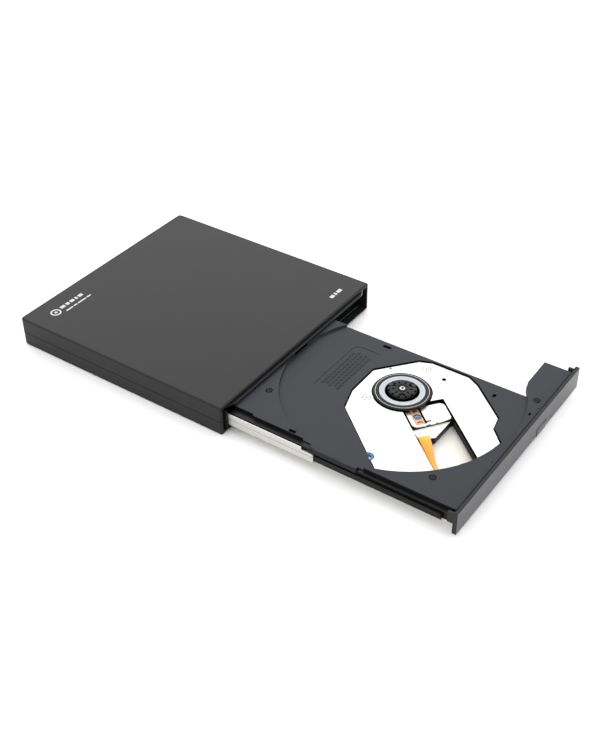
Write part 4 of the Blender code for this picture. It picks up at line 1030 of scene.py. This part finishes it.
def build_drive_body():
    """The pan in black steel as painted shade, the top plate with its bare sheared edge on the right, and the
    two guides.
    """
    # Painted shade: the pan is zinc-plated sheet; it takes black steel so that its walls read as the shade
    # inside the mouth.
    refined("drive_base_pan", black_steel(), 0.00010)
    plate = refined("drive_top_plate", black_steel())
    paint_faces(plate, bare_edge(), lambda centre, normal: abs(normal.z) < 0.7 and centre.x > BARE_FROM)
    for node in ("left_guide", "right_guide"):
        refined(node, runner_plastic_and_painted_shade(), 0.00015)


# The groove that carries the painted shade line under the fold: its reach into the rail's face and its height.
FOLD_LINE = Vector((0.00015, 0.00030))
FOLD_HEIGHT = 0.0031


def short_of_stop(runner):
    """Takes a shaving off the runner's rear end, so that it meets the guide's stop without entering it."""
    rear = max(vertex.co.y for vertex in runner.data.vertices)
    carved(runner, box((-1.0, rear - 0.00006, -1.0), (1.0, rear + 0.01, 1.0)))


def build_rails():
    """Side rails of folded steel with the shade under the fold painted as a dark line, and the plastic runners
    that slide in them.
    """
    for node, outward in (("left_rail", -1), ("right_rail", 1)):
        low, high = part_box(node)
        face = low.x if outward < 0 else high.x
        line = box(
            (face - FOLD_LINE.x, low.y - 0.001, low.z + FOLD_HEIGHT),
            (face + FOLD_LINE.x, high.y + 0.001, low.z + FOLD_HEIGHT + FOLD_LINE.y),
        )
        rail = refined(node, rolled_steel(), 0.00008, 2, lambda piece: carved(piece, line))
        # Painted shade: the groove's inner face takes black steel to stand for the shade under the rail's
        # folded lip.
        sunk = face - outward * FOLD_LINE.x
        paint_faces(rail, black_steel(), lambda centre, normal: abs(centre.x - sunk) < MERGE)
    for node in ("left_tray_rail", "right_tray_rail"):
        refined(node, runner_plastic_and_painted_shade(), 0.00012, 2, short_of_stop)


# ---------------------------------------------------------------- tray
RECESS_DROP = 0.0014
RECESS_RADIUS = 0.0618
TRAY_SLOT_FLOOR = 0.0110
CHANNEL_EDGE = -0.0560
CHANNEL_DROP = 0.0008


def tray_cuts():
    """Slots and pin holes of the tray's upper face."""
    shape = bmesh.new()
    deep, over = TRAY_SLOT_FLOOR, TRAY_TOP + 0.001
    for x, back, half_x, half_y in (
        (-0.0573, 0.0933, 0.0009, 0.0020),
        (0.0180, 0.0055, 0.0010, 0.0006),
        (0.0274, 0.0922, 0.0010, 0.0023),
        (0.0226, 0.0270, 0.0013, 0.0009),
    ):
        cx, cy = on_tray(x, back)
        box((cx - half_x, cy - half_y, deep), (cx + half_x, cy + half_y, over), shape)
    for x, back in ((0.0242, 0.0040), (-0.0233, 0.0043)):
        place = on_tray(x, back)
        rod((*place, deep), (*place, over), 0.0004, 16, shape)
    return shape


def groove(points, width, low, high, shape=None):
    """A straight-sided channel along a line of points."""
    shape = shape or bmesh.new()
    path = [Vector(p) for p in points]
    sides = ([], [])
    for i, here in enumerate(path):
        before = path[max(i - 1, 0)]
        after = path[min(i + 1, len(path) - 1)]
        run = (after - before).normalized()
        side = Vector((-run.y, run.x)) * width / 2
        sides[0].append(here + side)
        sides[1].append(here - side)
    outline = [tuple(p) for p in sides[1] + sides[0][::-1]]
    return prism(outline, low, high, shape)


SCREW_SPOTS = ((-0.0384, 0.1210), (-0.0476, 0.0219), (0.0295, 0.0072))


def build_tray():
    given = settings().tray
    top = TRAY_TOP
    floor = top - RECESS_DROP

    def cut(tray):
        carved(tray, tray_cuts())
        for place in screw_points(top, floor):
            carved(tray, pillar(place, place.z - 0.0006, place.z + 0.001, 0.0019, 40))
        corner = arc(on_tray(0.0160, 0.1029), 0.0036, 0, 90, 6)
        line = [on_tray(0.0196, 0.0920)] + corner + [on_tray(-0.0198, 0.1065)]
        carved(tray, groove(line, given.groove_width, floor - given.groove_depth, floor + 0.0005))

    def in_shade(centre, normal):
        """Painted shade: the channel at the left, the slots' floors and the walls of the opening under the
        disc, which take the darker runner plastic.
        """
        channel = centre.x < CHANNEL_EDGE and centre.z < top - CHANNEL_DROP
        slot = abs(centre.z - TRAY_SLOT_FLOOR) < 0.0001
        wall = abs(normal.z) < 0.5 and centre.z < floor - 0.0001 and not in_rim(centre.xy)
        return channel or slot or wall

    tray = refined("tray", tray_plastic(), given.edge, 2, cut)
    # Painted shade: the runner plastic on these faces stands for the shade that falls in them.
    paint_faces(tray, runner_plastic_and_painted_shade(), in_shade)
    add_moulded_marks(floor)
    add_tray_screws(top, floor)
    floor_sheet = solid("tray_floor_fine", copy_of("tray_bottom_cover"))
    eased(floor_sheet, 0.00010, 2)
    place_piece(floor_sheet, "tray_carriage", pale_sheet(), ("tray_bottom_cover",))


def in_rim(place):
    """Whether a place on the tray lies outside the disc recess."""
    return (Vector(place) - SPINDLE.xy).length > RECESS_RADIUS


def add_moulded_marks(floor):
    """Rows of plain raised bars behind the recess line, in the darker runner plastic as painted shade for
    their relief.
    """
    # Painted shade: the bars take the darker runner plastic to stand for the shading round their relief.
    for row in range(5):
        start = on_tray(-0.0160 + 0.0012 * (row % 2), 0.1037 - 0.0023 * row)
        inputs = {
            "Count": 12,
            "Start": (*start, floor + 0.00002),
            "Step": (0.0026, 0.0, 0.0),
            "Block": (0.0017, 0.0011, 0.00022),
            "Finish": runner_plastic_and_painted_shade(),
        }
        marks = made_by(row_tree, f"moulded_marks_{row + 1}", inputs)
        place_piece(marks, "tray_carriage", None)


def screw_points(top, floor):
    """Where the tray's screws meet its face, which is lower inside the disc recess."""
    places = [on_tray(x, back) for x, back in SCREW_SPOTS]
    return [Vector((*place, top if in_rim(place) else floor)) for place in places]


def add_tray_screws(top, floor):
    points = [place - Vector((0.0, 0.0, 0.00035)) for place in screw_points(top, floor)]
    inputs = {"Head radius": 0.0014, "Head height": 0.0004, "Slot width": 0.0003, "Finish": black_steel()}
    screws = made_by(screw_tree, "tray_screws", inputs, points)
    place_piece(screws, "tray_carriage", None)


# ---------------------------------------------------------------- bezel and front works
# The sunk line in the bezel's top, whose floor is painted black as the shade in the gap between bezel and
# tray.
GAP_LINE_SETBACK = 0.0017
GAP_LINE_WIDTH = 0.0005
GAP_LINE_END = 0.0008
GAP_LINE_FLOOR = BEZEL_HIGH.z - 0.0006


def on_front(centre, normal):
    return normal.y < -0.5 and centre.y < BEZEL_LOW.y + 0.001


def build_bezel():
    """The bezel with the sunk line in its top painted as shade, its button and lamp, and the works behind
    them.
    """
    near = BEZEL_LOW.y + GAP_LINE_SETBACK
    line = box(
        (BEZEL_LOW.x + GAP_LINE_END, near, GAP_LINE_FLOOR),
        (BEZEL_HIGH.x - GAP_LINE_END, near + GAP_LINE_WIDTH, BEZEL_HIGH.z + 0.001),
    )

    def in_line(centre, normal):
        return normal.z > 0.5 and abs(centre.z - GAP_LINE_FLOOR) < 0.00006

    bezel = refined("bezel", bezel_body(), 0.00010, 2, lambda piece: carved(piece, line))
    paint_faces(bezel, bezel_face(), on_front)
    # Painted shade: the line's floor takes black rubber to stand for the shade in the gap between bezel and
    # tray.
    paint_faces(bezel, foot_rubber(), in_line)
    button = refined("eject_button", bezel_body(), 0.00010)
    paint_faces(button, bezel_face(), on_front)
    refined("light_pipe", lamp_plastic(), 0.00010)
    refined("latch_lever", zinc_sheet(), 0.00010)
    refined("latch_solenoid", chip_resin(), 0.00020)
    refined("front_board", solder_mask(), 0.00005)
    refined("eject_switch", chip_resin(), 0.00010)


# ---------------------------------------------------------------- electronics and sockets
def add_pins(name, start, step, count, block, body):
    """A straight row of tinned pins or contacts."""
    inputs = {"Count": count, "Start": start, "Step": step, "Block": block, "Finish": tinned_copper()}
    place_piece(made_by(row_tree, name, inputs), body, None)


def build_electronics():
    """Both boards with their chips, connectors, flat cable and chip pins."""
    for node in ("main_board", "usb_bridge_board"):
        refined(node, solder_mask(), 0.00005)
    for node in ("main_chip", "bridge_chip", "drive_connector", "bridge_connector"):
        refined(node, chip_resin(), 0.00015)
    refined("board_flex", orange_film(), 0.00002)
    for node in ("main_chip", "bridge_chip"):
        low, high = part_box(node)
        pitch = 0.0008
        count = int((high.x - low.x - 0.002) / pitch)
        first = (low.x + high.x) / 2 - (count - 1) * pitch / 2
        pin = (0.0003, 0.0008, 0.0002)
        for side, y in (("front", low.y - 0.0004), ("rear", high.y + 0.0004)):
            start = (first, y, low.z + 0.0001)
            add_pins(f"{node}_pins_{side}", start, (pitch, 0.0, 0.0), count, pin, "enclosure")


def build_sockets():
    """The two rear sockets and the contacts inside the data socket."""
    refined("mini_usb_socket", rolled_steel(), 0.00008)
    refined("dc_jack", chip_resin(), 0.00015)
    low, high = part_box("mini_usb_socket")
    middle = (low.x + high.x) / 2
    start = (middle - 0.0016, high.y - 0.0030, (low.z + high.z) / 2 + 0.00042)
    add_pins("usb_contacts", start, (0.0008, 0.0, 0.0), 5, (0.0003, 0.0030, 0.0001), "enclosure")


# ---------------------------------------------------------------- traverse
RING_MARK = (0.0018, 0.00225)
PLATE_HOLES = (((0.0208, -0.1434), 0.0012), ((0.0134, -0.1161), 0.0006))
PLATE_PIT = ((0.0179, -0.1438), 0.0005)
SLOT_END = 0.0103


def pickup_span(node):
    """How far a node reaches along and across the pickup's path."""
    steps = [vertex.co - SPINDLE for vertex in frame["nodes"][node].data.vertices]
    along = [step.dot(ALONG) for step in steps]
    across = [step.dot(ACROSS) for step in steps]
    return (min(along), max(along)), (min(across), max(across))


def pickup_slot_right():
    """Where the plate's slot ends on the right, which is at the first edge past the cover."""
    return pickup_span("pickup_cover")[1][1] + 0.0004


def build_plate():
    """The ground plate, with a sunk ring and cross over two of the damper screws, and its side walls in
    painted shade.
    """
    low, high = PLATE_LOW.z, PLATE_HIGH.z
    plate = solid("traverse_plate_fine", copy_of("traverse_plate"))
    marks = bmesh.new()
    for number in (2, 3):
        spot = middle_of(f"damper_screw_{number}")
        joined(plate, rod((spot.x, spot.y, low), (spot.x, spot.y, high), 0.0034, 40))
        sunk, proud = high - 0.0001, high + 0.00003
        turned(band(*RING_MARK, sunk, proud), spot, 40, marks)
        for x, y in ((0.0008, 0.0002), (0.0002, 0.0008)):
            box((spot.x - x, spot.y - y, sunk), (spot.x + x, spot.y + y, proud), marks)
    place_piece(solid("pressed_marks", marks), "tray_carriage", tarnished_recess())
    lip = pickup_quad((0.0060, SLOT_END), (0.0060, pickup_slot_right() + 0.0005))
    joined(plate, prism(lip, low, high))
    carved(plate, pillar(SPINDLE, low - 0.001, high + 0.001, half_width("turntable") + 0.0006, 96))
    for place, radius in PLATE_HOLES:
        carved(plate, pillar(Vector(place), low - 0.001, high + 0.001, radius, 24))
    place, radius = PLATE_PIT
    carved(plate, pillar(Vector(place), high - 0.0002, high + 0.001, radius, 20))
    eased(plate, 0.00008, 2)
    place_piece(plate, "tray_carriage", bright_plate(), ("traverse_plate",))
    # Painted shade: the plate's side walls take black steel, which stands for the shade along its edges, its
    # slot and its holes.
    edge = (low + high) / 2
    paint_faces(plate, black_steel(), lambda centre, normal: abs(normal.z) < 0.5 and centre.z < edge + 0.0001)


def build_dampers():
    """Silicone grommets with a waist, and the shouldered screws that hold them."""
    grommet = middle_of("rubber_damper_1")
    low, high = PLATE_LOW.z - 0.0010, PLATE_HIGH.z
    profile = [(0.0017, low), (0.0028, low), (0.0028, high - 0.0002)]
    profile += [(0.0026, high), (0.0019, high), (0.0017, high - 0.0002)]
    collar = solid("grommet_collar", turned(profile, grommet, 48))
    place_piece(collar, "tray_carriage", blue_rubber())
    for number in (1, 2, 3):
        refined(f"rubber_damper_{number}", blue_rubber(), 0.00025, 3)
        refined(f"damper_screw_{number}", rolled_steel(), 0.00015, 2)


def build_lead_screw():
    """The sled's screw: one ridge wound round a core, with a plain journal at each end."""
    along, across = pickup_span("lead_screw")
    middle = middle_of("lead_screw")
    start = by_pickup(along[0], (across[0] + across[1]) / 2, middle.z)
    end = by_pickup(along[1], (across[0] + across[1]) / 2, middle.z)
    radius = (across[1] - across[0]) / 2
    ridge = radius * 0.2
    core = radius - ridge
    journal = 0.0022
    run = (end - start).normalized()
    turn = (end - start).to_track_quat("Z", "Y").to_matrix().to_4x4()
    inputs = {
        "Length": (end - start).length - 2 * journal,
        "Core": core - EPS,
        "Ridge": ridge,
        "Turns": 14.0,
        "Finish": rolled_steel(),
    }
    place = Matrix.Translation(start + run * journal) @ turn
    thread = made_by(thread_tree, "lead_screw_thread", inputs, (), place)
    place_piece(thread, "feed_screw", None, ("lead_screw",), 60.0)
    journals = rod(start, start + run * journal, core * 0.8, 24)
    rod(end - run * journal, end, core * 0.8, 24, journals)
    place_piece(solid("lead_screw_journals", journals), "feed_screw", rolled_steel())


def build_traverse():
    """The plate and dampers on top, and the chassis, shafts, screw and motors below."""
    build_plate()
    build_dampers()
    build_lead_screw()
    refined("traverse_chassis", runner_plastic_and_painted_shade(), 0.00015)
    refined("near_guide_shaft", rolled_steel(), 0.00015)
    # Painted shade: the far shaft is bright steel; black steel here stands for the shade along the slot's
    # right edge.
    refined("far_guide_shaft", black_steel(), 0.00015)
    refined("feed_motor", zinc_sheet(), 0.00020)
    refined("motor_base_plate", zinc_sheet(), 0.00008)
    refined("spindle_bearing", zinc_sheet(), 0.00008)
    refined("spindle_stator", enamelled_copper(), 0.00020)


# ---------------------------------------------------------------- spindle
NOTCHES = {"count": 12, "turn": 15.0, "block": (0.0022, 0.0012, 0.0020)}
POCKETS = {"count": 9, "turn": 10.0, "block": (0.0016, 0.0008, 0.0012), "radius": 0.0045}
RIM_LINE = (0.01345, 0.01362)


def ring_cutter(name, radius, count, turn, block):
    """A ring of blocks to cut the hub's top with."""
    inputs = {
        "Count": count,
        "Radius": radius,
        "Block": block,
        "Place": (SPINDLE.x, SPINDLE.y, HUB_TOP),
        "Turn": (0.0, 0.0, math.radians(turn)),
        "Finish": hub_plastic(),
    }
    ring = made_by(ring_tree, name, inputs)
    shape = bmesh.new()
    shape.from_mesh(ring.data)
    bpy.data.objects.remove(ring)
    return shape


def build_hub():
    """The clamping hub: a disc with notches round its rim, pockets in its top and a steel shaft end."""
    top = HUB_TOP
    low, high = top - 0.0004, top + 0.0001

    def cut(hub):
        carved(hub, ring_cutter("hub_notches", half_width("clamp_hub"), **NOTCHES))
        carved(hub, ring_cutter("hub_pockets", **POCKETS))
        carved(hub, turned(band(0.0024, 0.0030, top - 0.0003, top + 0.001), SPINDLE, 48))
        carved(hub, turned(band(0.0, 0.0018, low, top + 0.001), SPINDLE, 32))

    refined("clamp_hub", hub_plastic(), 0.00010, 2, cut)
    profile = [(0.0008, high), (0.0013, high), (0.00145, high - 0.00015), (0.00145, low), (0.0008, low)]
    shaft = solid("shaft_end", turned(profile, SPINDLE, 32))
    place_piece(shaft, "spindle", rolled_steel())
    for number in (1, 2, 3):
        refined(f"hub_claw_{number}", hub_plastic(), 0.00010)


def build_spindle():
    """The turntable with the bright line round its rim, the friction ring and the hub."""
    top = TURNTABLE_HIGH.z
    groove_cut = turned(band(*RIM_LINE, top - 0.0002, top + 0.001), SPINDLE)
    refined("turntable", black_steel(), 0.00010, 2, lambda piece: carved(piece, groove_cut))
    line = solid("turntable_rim_line", turned(band(*RIM_LINE, top - 0.0002, top), SPINDLE))
    place_piece(line, "spindle", rolled_steel())
    outer = half_width("friction_ring")
    inner = outer - 0.0028
    low, high = (corner.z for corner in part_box("friction_ring"))
    step = high - 0.00015
    profile = [(inner, step - 0.0001), (inner + 0.0002, step), (outer - 0.0014, step), (outer - 0.0013, high)]
    profile += [(outer - 0.0002, high), (outer, step), (outer, low), (inner, low)]
    ring = solid("friction_ring_fine", turned(profile, SPINDLE))
    place_piece(ring, "spindle", ring_rubber(), ("friction_ring",))
    build_hub()


# ---------------------------------------------------------------- pickup
LENS_SPOT = (0.0188, 0.0014)
FRAME_SPAN = ((0.0127, 0.0245), (-0.0010, 0.0036))
COPPER_SPAN = (0.0130, 0.0240)
COPPER_REACH = 0.0020
NOSE_FROM = 0.0266
# The cover's corners, each by its distance along and across the pickup's path.
COVER_CORNERS = (
    (0.0124, -0.0033),
    (0.0240, -0.0033),
    (0.0254, -0.0028),
    (0.0261, -0.0015),
    (0.0262, 0.0040),
    (0.0256, 0.0110),
    (0.0248, 0.0160),
    (0.0243, 0.0169),
    (0.0232, 0.0174),
    (0.0142, 0.0176),
    (0.0130, 0.0171),
    (0.0118, 0.0156),
)


def build_sled():
    """The die-cast sled, dark except for the pale film on its nose, and its bright cover plate. The sled's
    dark body also serves as painted shade in the gap beside the cover.
    """
    along, across = FRAME_SPAN
    top = PICKUP_LOW.z
    well_along = (along[0] - 0.0003, along[1] + 0.0003)
    well = prism(pickup_quad(well_along, (across[0] - 0.0003, 0.0072)), top - 0.0026, top + 0.001)
    # Painted shade: the sled's body is black so that the gap beside the cover reads as shade.
    base = refined("pickup_base", die_cast_black_and_painted_shade(), 0.00012, 2, lambda piece: carved(piece, well))
    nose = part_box("pickup_base")[1].z - 0.0004

    def on_nose(centre, normal):
        return normal.z > 0.5 and (centre - SPINDLE).dot(ALONG) > NOSE_FROM and centre.z < nose

    def frame_wall(centre, normal):
        step = centre - SPINDLE
        beside = COPPER_SPAN[0] < step.dot(ALONG) < COPPER_SPAN[1] and abs(step.dot(ACROSS)) < COPPER_REACH
        return abs(normal.z) < 0.3 and beside

    paint_faces(base, pale_sheet(), on_nose)
    cover = solid("pickup_cover_fine", prism(pickup_outline(COVER_CORNERS), PICKUP_LOW.z, PICKUP_HIGH.z))
    cuts = (
        (well_along, (across[0] - 0.0002, across[1] + 0.0010)),
        ((along[0] - 0.0001, along[0] + 0.0009), (across[1] + 0.0006, 0.0070)),
        ((along[1] - 0.0016, along[1] - 0.0006), (across[1] + 0.0006, 0.0070)),
        ((0.0256, 0.0270), (0.0036, 0.0058)),
        ((0.0252, 0.0270), (0.0088, 0.0096)),
    )
    for cut in cuts:
        carved(cover, prism(pickup_quad(*cut), PICKUP_LOW.z - 0.001, PICKUP_HIGH.z + 0.001))
    eased(cover, 0.00008, 2)
    place_piece(cover, "sled", bright_plate(), ("pickup_cover",))
    paint_faces(cover, copper_spring(), frame_wall)


def build_lens():
    """The lens in its copper frame, and the coils beside it."""
    along, across = FRAME_SPAN
    top = PICKUP_HIGH.z - 0.0001
    holder = solid("lens_holder_fine", prism(pickup_quad(along, across), top - 0.0014, top))
    spot = by_pickup(*LENS_SPOT)
    carved(holder, rod((spot.x, spot.y, top - 0.0005), (spot.x, spot.y, top + 0.001), 0.0021, 40))
    windows = (
        ((along[0] + 0.0008, along[0] + 0.0016), (across[0] + 0.0008, across[0] + 0.0022)),
        ((along[0] + 0.0008, along[0] + 0.0016), (across[1] - 0.0014, across[1] - 0.0006)),
        ((along[1] - 0.0018, along[1] - 0.0010), (across[0] + 0.0008, across[0] + 0.0018)),
        ((along[1] - 0.0018, along[1] - 0.0010), (across[1] - 0.0018, across[1] - 0.0008)),
    )
    for window in windows:
        carved(holder, prism(pickup_quad(*window), top - 0.0006, top + 0.001))
    eased(holder, 0.00008, 2)
    place_piece(holder, "lens", copper_spring(), ("lens_holder",))
    low = top - 0.0004

    def in_window(centre, normal):
        return normal.z > 0.5 and top - 0.0008 < centre.z < low

    paint_faces(holder, hub_plastic(), in_window)
    profile = [(0.0, low), (0.0019, low), (0.0019, top - 0.0001), (0.0015, top)]
    for radius in (0.0012, 0.0009, 0.0006, 0.0003, 0.0):
        profile.append((radius, top + 0.0004 * (1 - (radius / 0.0015) ** 2)))
    lens = solid("objective_lens_fine", turned(profile, spot, 32))
    place_piece(lens, "lens", coated_lens(), ("objective_lens",))
    coils = bmesh.new()
    for offset in (-0.0042, 0.0040):
        box((-0.0006, -0.0010, top - 0.0001), (0.0006, 0.0010, top + 0.00003), coils)
        made = list(coils.verts)[-8:]
        turn = Matrix.Rotation(math.atan2(ALONG.y, ALONG.x), 4, "Z")
        place = by_pickup(LENS_SPOT[0] + offset, LENS_SPOT[1])
        bmesh.ops.transform(coils, matrix=Matrix.Translation((place.x, place.y, 0.0)) @ turn, verts=made)
    place_piece(solid("focus_coils", coils), "lens", enamelled_copper())


# The flat cable's path: distance along the pickup's path, height, and half its width.
FLEX_LINE = (
    (0.0322, 0.0091, 0.0029),
    (0.0345, 0.0090, 0.0028),
    (0.0370, 0.0083, 0.0026),
    (0.0400, 0.0071, 0.0022),
    (0.0430, 0.0058, 0.0018),
    (0.0460, 0.0048, 0.0014),
    (0.0500, 0.0044, 0.0011),
    (0.0560, 0.0043, 0.0010),
    (0.0620, 0.0043, 0.0010),
)


def build_flex():
    """The flat cable that drops from the sled's nose to the tray's floor."""
    thick = 0.0001
    shape = bmesh.new()
    rows = []
    for along, height, half in smooth_line(FLEX_LINE, 4):
        corners = ((-half, 0.0), (half, 0.0), (half, thick), (-half, thick))
        places = [by_pickup(along, across - 0.0003, height + lift) for across, lift in corners]
        rows.append([shape.verts.new(place) for place in places])
    for here, there in zip(rows, rows[1:]):
        for i in range(4):
            j = (i + 1) % 4
            shape.faces.new((here[i], here[j], there[j], there[i]))
    shape.faces.new(rows[0][::-1])
    shape.faces.new(rows[-1])
    bmesh.ops.recalc_face_normals(shape, faces=shape.faces)
    flex = solid("pickup_flex_fine", shape)
    flex.data.materials.append(orange_film())
    shaded(flex)
    start, end = by_pickup(FLEX_LINE[1][0], 0.0, 0.0085), by_pickup(FLEX_LINE[-1][0], 0.0, 0.0043)
    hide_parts("pickup_flex")
    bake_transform(flex)


def between(a, b, c, d, t):
    """The value at t from b to c on a cubic that also heeds a before them and d after."""
    return 0.5 * (2 * b + (c - a) * t + (2 * a - 5 * b + 4 * c - d) * t * t + (3 * b - a - 3 * c + d) * t**3)


def smooth_line(points, steps):
    """Points on a smooth line through these points, by cubic pieces."""
    line = []
    count = len(points)
    for i in range(count - 1):
        near = (points[max(i - 1, 0)], points[i], points[i + 1], points[min(i + 2, count - 1)])
        for step in range(steps):
            line.append(tuple(between(*values, step / steps) for values in zip(*near)))
    return line + [points[-1]]


def build_pickup():
    build_sled()
    build_lens()
    build_flex()


# ---------------------------------------------------------------- stage
CAMERA_PLACE = Vector((-0.39621, -0.35049, 0.37313))
CAMERA_TURN = (-54.56, 37.88, -0.72)
CAMERA_LENS = 55.36
FLOOR_REACH = 4.0


def add_camera():
    """The camera, from its place and its azimuth, elevation and roll in degrees."""
    azimuth, elevation, roll = (math.radians(a) for a in CAMERA_TURN)
    level_reach = math.cos(elevation)
    back = Vector((math.sin(azimuth) * level_reach, -math.cos(azimuth) * level_reach, math.sin(elevation)))
    level = Vector((math.cos(azimuth), math.sin(azimuth), 0.0))
    upright = back.cross(level)
    right = level * math.cos(roll) + upright * math.sin(roll)
    up = upright * math.cos(roll) - level * math.sin(roll)
    lens = bpy.data.cameras.new("camera")
    lens.lens = CAMERA_LENS
    lens.sensor_width = 36.0
    lens.clip_start = 0.01
    camera = bpy.data.objects.new("camera", lens)
    turn = Matrix((right, up, back)).transposed().to_4x4()
    camera.matrix_world = Matrix.Translation(CAMERA_PLACE) @ turn
    bpy.context.scene.collection.objects.link(camera)
    bpy.context.scene.camera = camera


def add_softbox(name, place, target, width, height, power):
    """A soft rectangular light at a place, turned towards its target."""
    light = bpy.data.lights.new(name, "AREA")
    light.shape = "RECTANGLE"
    light.size = width
    light.size_y = height
    light.energy = power
    lamp = bpy.data.objects.new(name, light)
    aim = (Vector(target) - Vector(place)).to_track_quat("-Z", "Y")
    lamp.matrix_world = Matrix.Translation(place) @ aim.to_matrix().to_4x4()
    bpy.context.scene.collection.objects.link(lamp)


def build_stage():
    """A pale floor under the drive, an even light all round, one big softbox and the camera."""
    given = settings().stage
    sheet = bmesh.new()
    far = FLOOR_REACH
    corners = ((-far, -far), (far, -far), (far, far), (-far, far))
    sheet.faces.new([sheet.verts.new((x, y, CASE_LOW.z)) for x, y in corners])
    floor = solid("studio_floor", sheet)
    floor.data.materials.append(new_finish("matte_studio_floor", list(given.floor), 0.9)[0])
    world = bpy.data.worlds.new("studio")
    bpy.context.scene.world = world
    world.use_nodes = True
    sky = world.node_tree.nodes["Background"].inputs
    sky["Color"].default_value = (1.0, 1.0, 1.0, 1.0)
    sky["Strength"].default_value = given.sky
    middle = (0.0, -0.06, 0.0)
    add_softbox("softbox_behind", (0.75, 0.55, 0.85), middle, 1.3, 1.0, given.key)
    add_camera()
    bpy.context.scene.view_settings.view_transform = "Standard"


# ---------------------------------------------------------------- add-on
class OPTICAL_DRIVE_OT_enclosure(bpy.types.Operator):
    """Build both covers, the printed marks, the feet and the case screws"""

    bl_idname = "optical_drive.enclosure"
    bl_label = "Enclosure"

    def execute(self, context):
        build_enclosure()
        return {"FINISHED"}


class OPTICAL_DRIVE_OT_drive_body(bpy.types.Operator):
    """Build the drive's pan, top plate and guides"""

    bl_idname = "optical_drive.drive_body"
    bl_label = "Drive body"

    def execute(self, context):
        build_drive_body()
        return {"FINISHED"}


class OPTICAL_DRIVE_OT_rails(bpy.types.Operator):
    """Build the steel side rails and the tray's runners"""

    bl_idname = "optical_drive.rails"
    bl_label = "Rails"

    def execute(self, context):
        build_rails()
        return {"FINISHED"}


class OPTICAL_DRIVE_OT_tray(bpy.types.Operator):
    """Build the tray with its slots, marks and screws"""

    bl_idname = "optical_drive.tray"
    bl_label = "Tray"

    def execute(self, context):
        build_tray()
        return {"FINISHED"}


class OPTICAL_DRIVE_OT_bezel(bpy.types.Operator):
    """Build the bezel, the eject button and the latch works behind them"""

    bl_idname = "optical_drive.bezel"
    bl_label = "Bezel"

    def execute(self, context):
        build_bezel()
        return {"FINISHED"}


class OPTICAL_DRIVE_OT_traverse(bpy.types.Operator):
    """Build the traverse plate, chassis, shafts, motors and dampers"""

    bl_idname = "optical_drive.traverse"
    bl_label = "Traverse"

    def execute(self, context):
        build_traverse()
        return {"FINISHED"}


class OPTICAL_DRIVE_OT_spindle(bpy.types.Operator):
    """Build the turntable, friction ring, hub and claws"""

    bl_idname = "optical_drive.spindle"
    bl_label = "Spindle"

    def execute(self, context):
        build_spindle()
        return {"FINISHED"}


class OPTICAL_DRIVE_OT_pickup(bpy.types.Operator):
    """Build the pickup sled, its lens and its flat cable"""

    bl_idname = "optical_drive.pickup"
    bl_label = "Pickup"

    def execute(self, context):
        build_pickup()
        return {"FINISHED"}


class OPTICAL_DRIVE_OT_electronics(bpy.types.Operator):
    """Build the circuit boards, chips and connectors"""

    bl_idname = "optical_drive.electronics"
    bl_label = "Electronics"

    def execute(self, context):
        build_electronics()
        return {"FINISHED"}


class OPTICAL_DRIVE_OT_sockets(bpy.types.Operator):
    """Build the two sockets at the rear"""

    bl_idname = "optical_drive.sockets"
    bl_label = "Sockets"

    def execute(self, context):
        build_sockets()
        return {"FINISHED"}


class OPTICAL_DRIVE_OT_stage(bpy.types.Operator):
    """Build the studio floor, the lights and the camera"""

    bl_idname = "optical_drive.stage"
    bl_label = "Stage"

    def execute(self, context):
        build_stage()
        return {"FINISHED"}


STEPS = (
    OPTICAL_DRIVE_OT_enclosure,
    OPTICAL_DRIVE_OT_drive_body,
    OPTICAL_DRIVE_OT_rails,
    OPTICAL_DRIVE_OT_tray,
    OPTICAL_DRIVE_OT_bezel,
    OPTICAL_DRIVE_OT_traverse,
    OPTICAL_DRIVE_OT_spindle,
    OPTICAL_DRIVE_OT_pickup,
    OPTICAL_DRIVE_OT_electronics,
    OPTICAL_DRIVE_OT_sockets,
    OPTICAL_DRIVE_OT_stage,
)


class OPTICAL_DRIVE_PT_panel(bpy.types.Panel):
    """Lists the drive's pieces and their sizes and colours"""

    bl_idname = "OPTICAL_DRIVE_PT_panel"
    bl_label = "Optical drive"
    bl_space_type = "VIEW_3D"
    bl_region_type = "UI"
    bl_category = "Optical drive"

    def draw(self, context):
        for step in STEPS:
            self.layout.operator(step.bl_idname)
        for name in DriveSettings.__annotations__:
            group = getattr(context.scene.optical_drive, name)
            column = self.layout.box().column()
            column.label(text=name.capitalize())
            for value in type(group).__annotations__:
                column.prop(group, value)


GROUPS = (
    EnclosureSettings,
    TraySettings,
    BezelSettings,
    MetalSettings,
    SpindleSettings,
    PickupSettings,
    StageSettings,
    DriveSettings,
)


def register():
    for made in GROUPS + STEPS + (OPTICAL_DRIVE_PT_panel,):
        bpy.utils.register_class(made)
    bpy.types.Scene.optical_drive = bpy.props.PointerProperty(type=DriveSettings)


def unregister():
    del bpy.types.Scene.optical_drive
    for made in reversed(GROUPS + STEPS + (OPTICAL_DRIVE_PT_panel,)):
        bpy.utils.unregister_class(made)


def clear_startup():
    """Takes out whatever the new file brought that isn't the frame."""
    kept = set(frame["nodes"].values())
    for thing in list(bpy.data.objects):
        if thing.type in ("CAMERA", "LIGHT") or thing.name == "Cube" and thing not in kept:
            bpy.data.objects.remove(thing)


def main():
    register()
    clear_startup()
    for step in STEPS:
        group, name = step.bl_idname.split(".")
        getattr(getattr(bpy.ops, group), name)()


if __name__ == "__main__":
    main()
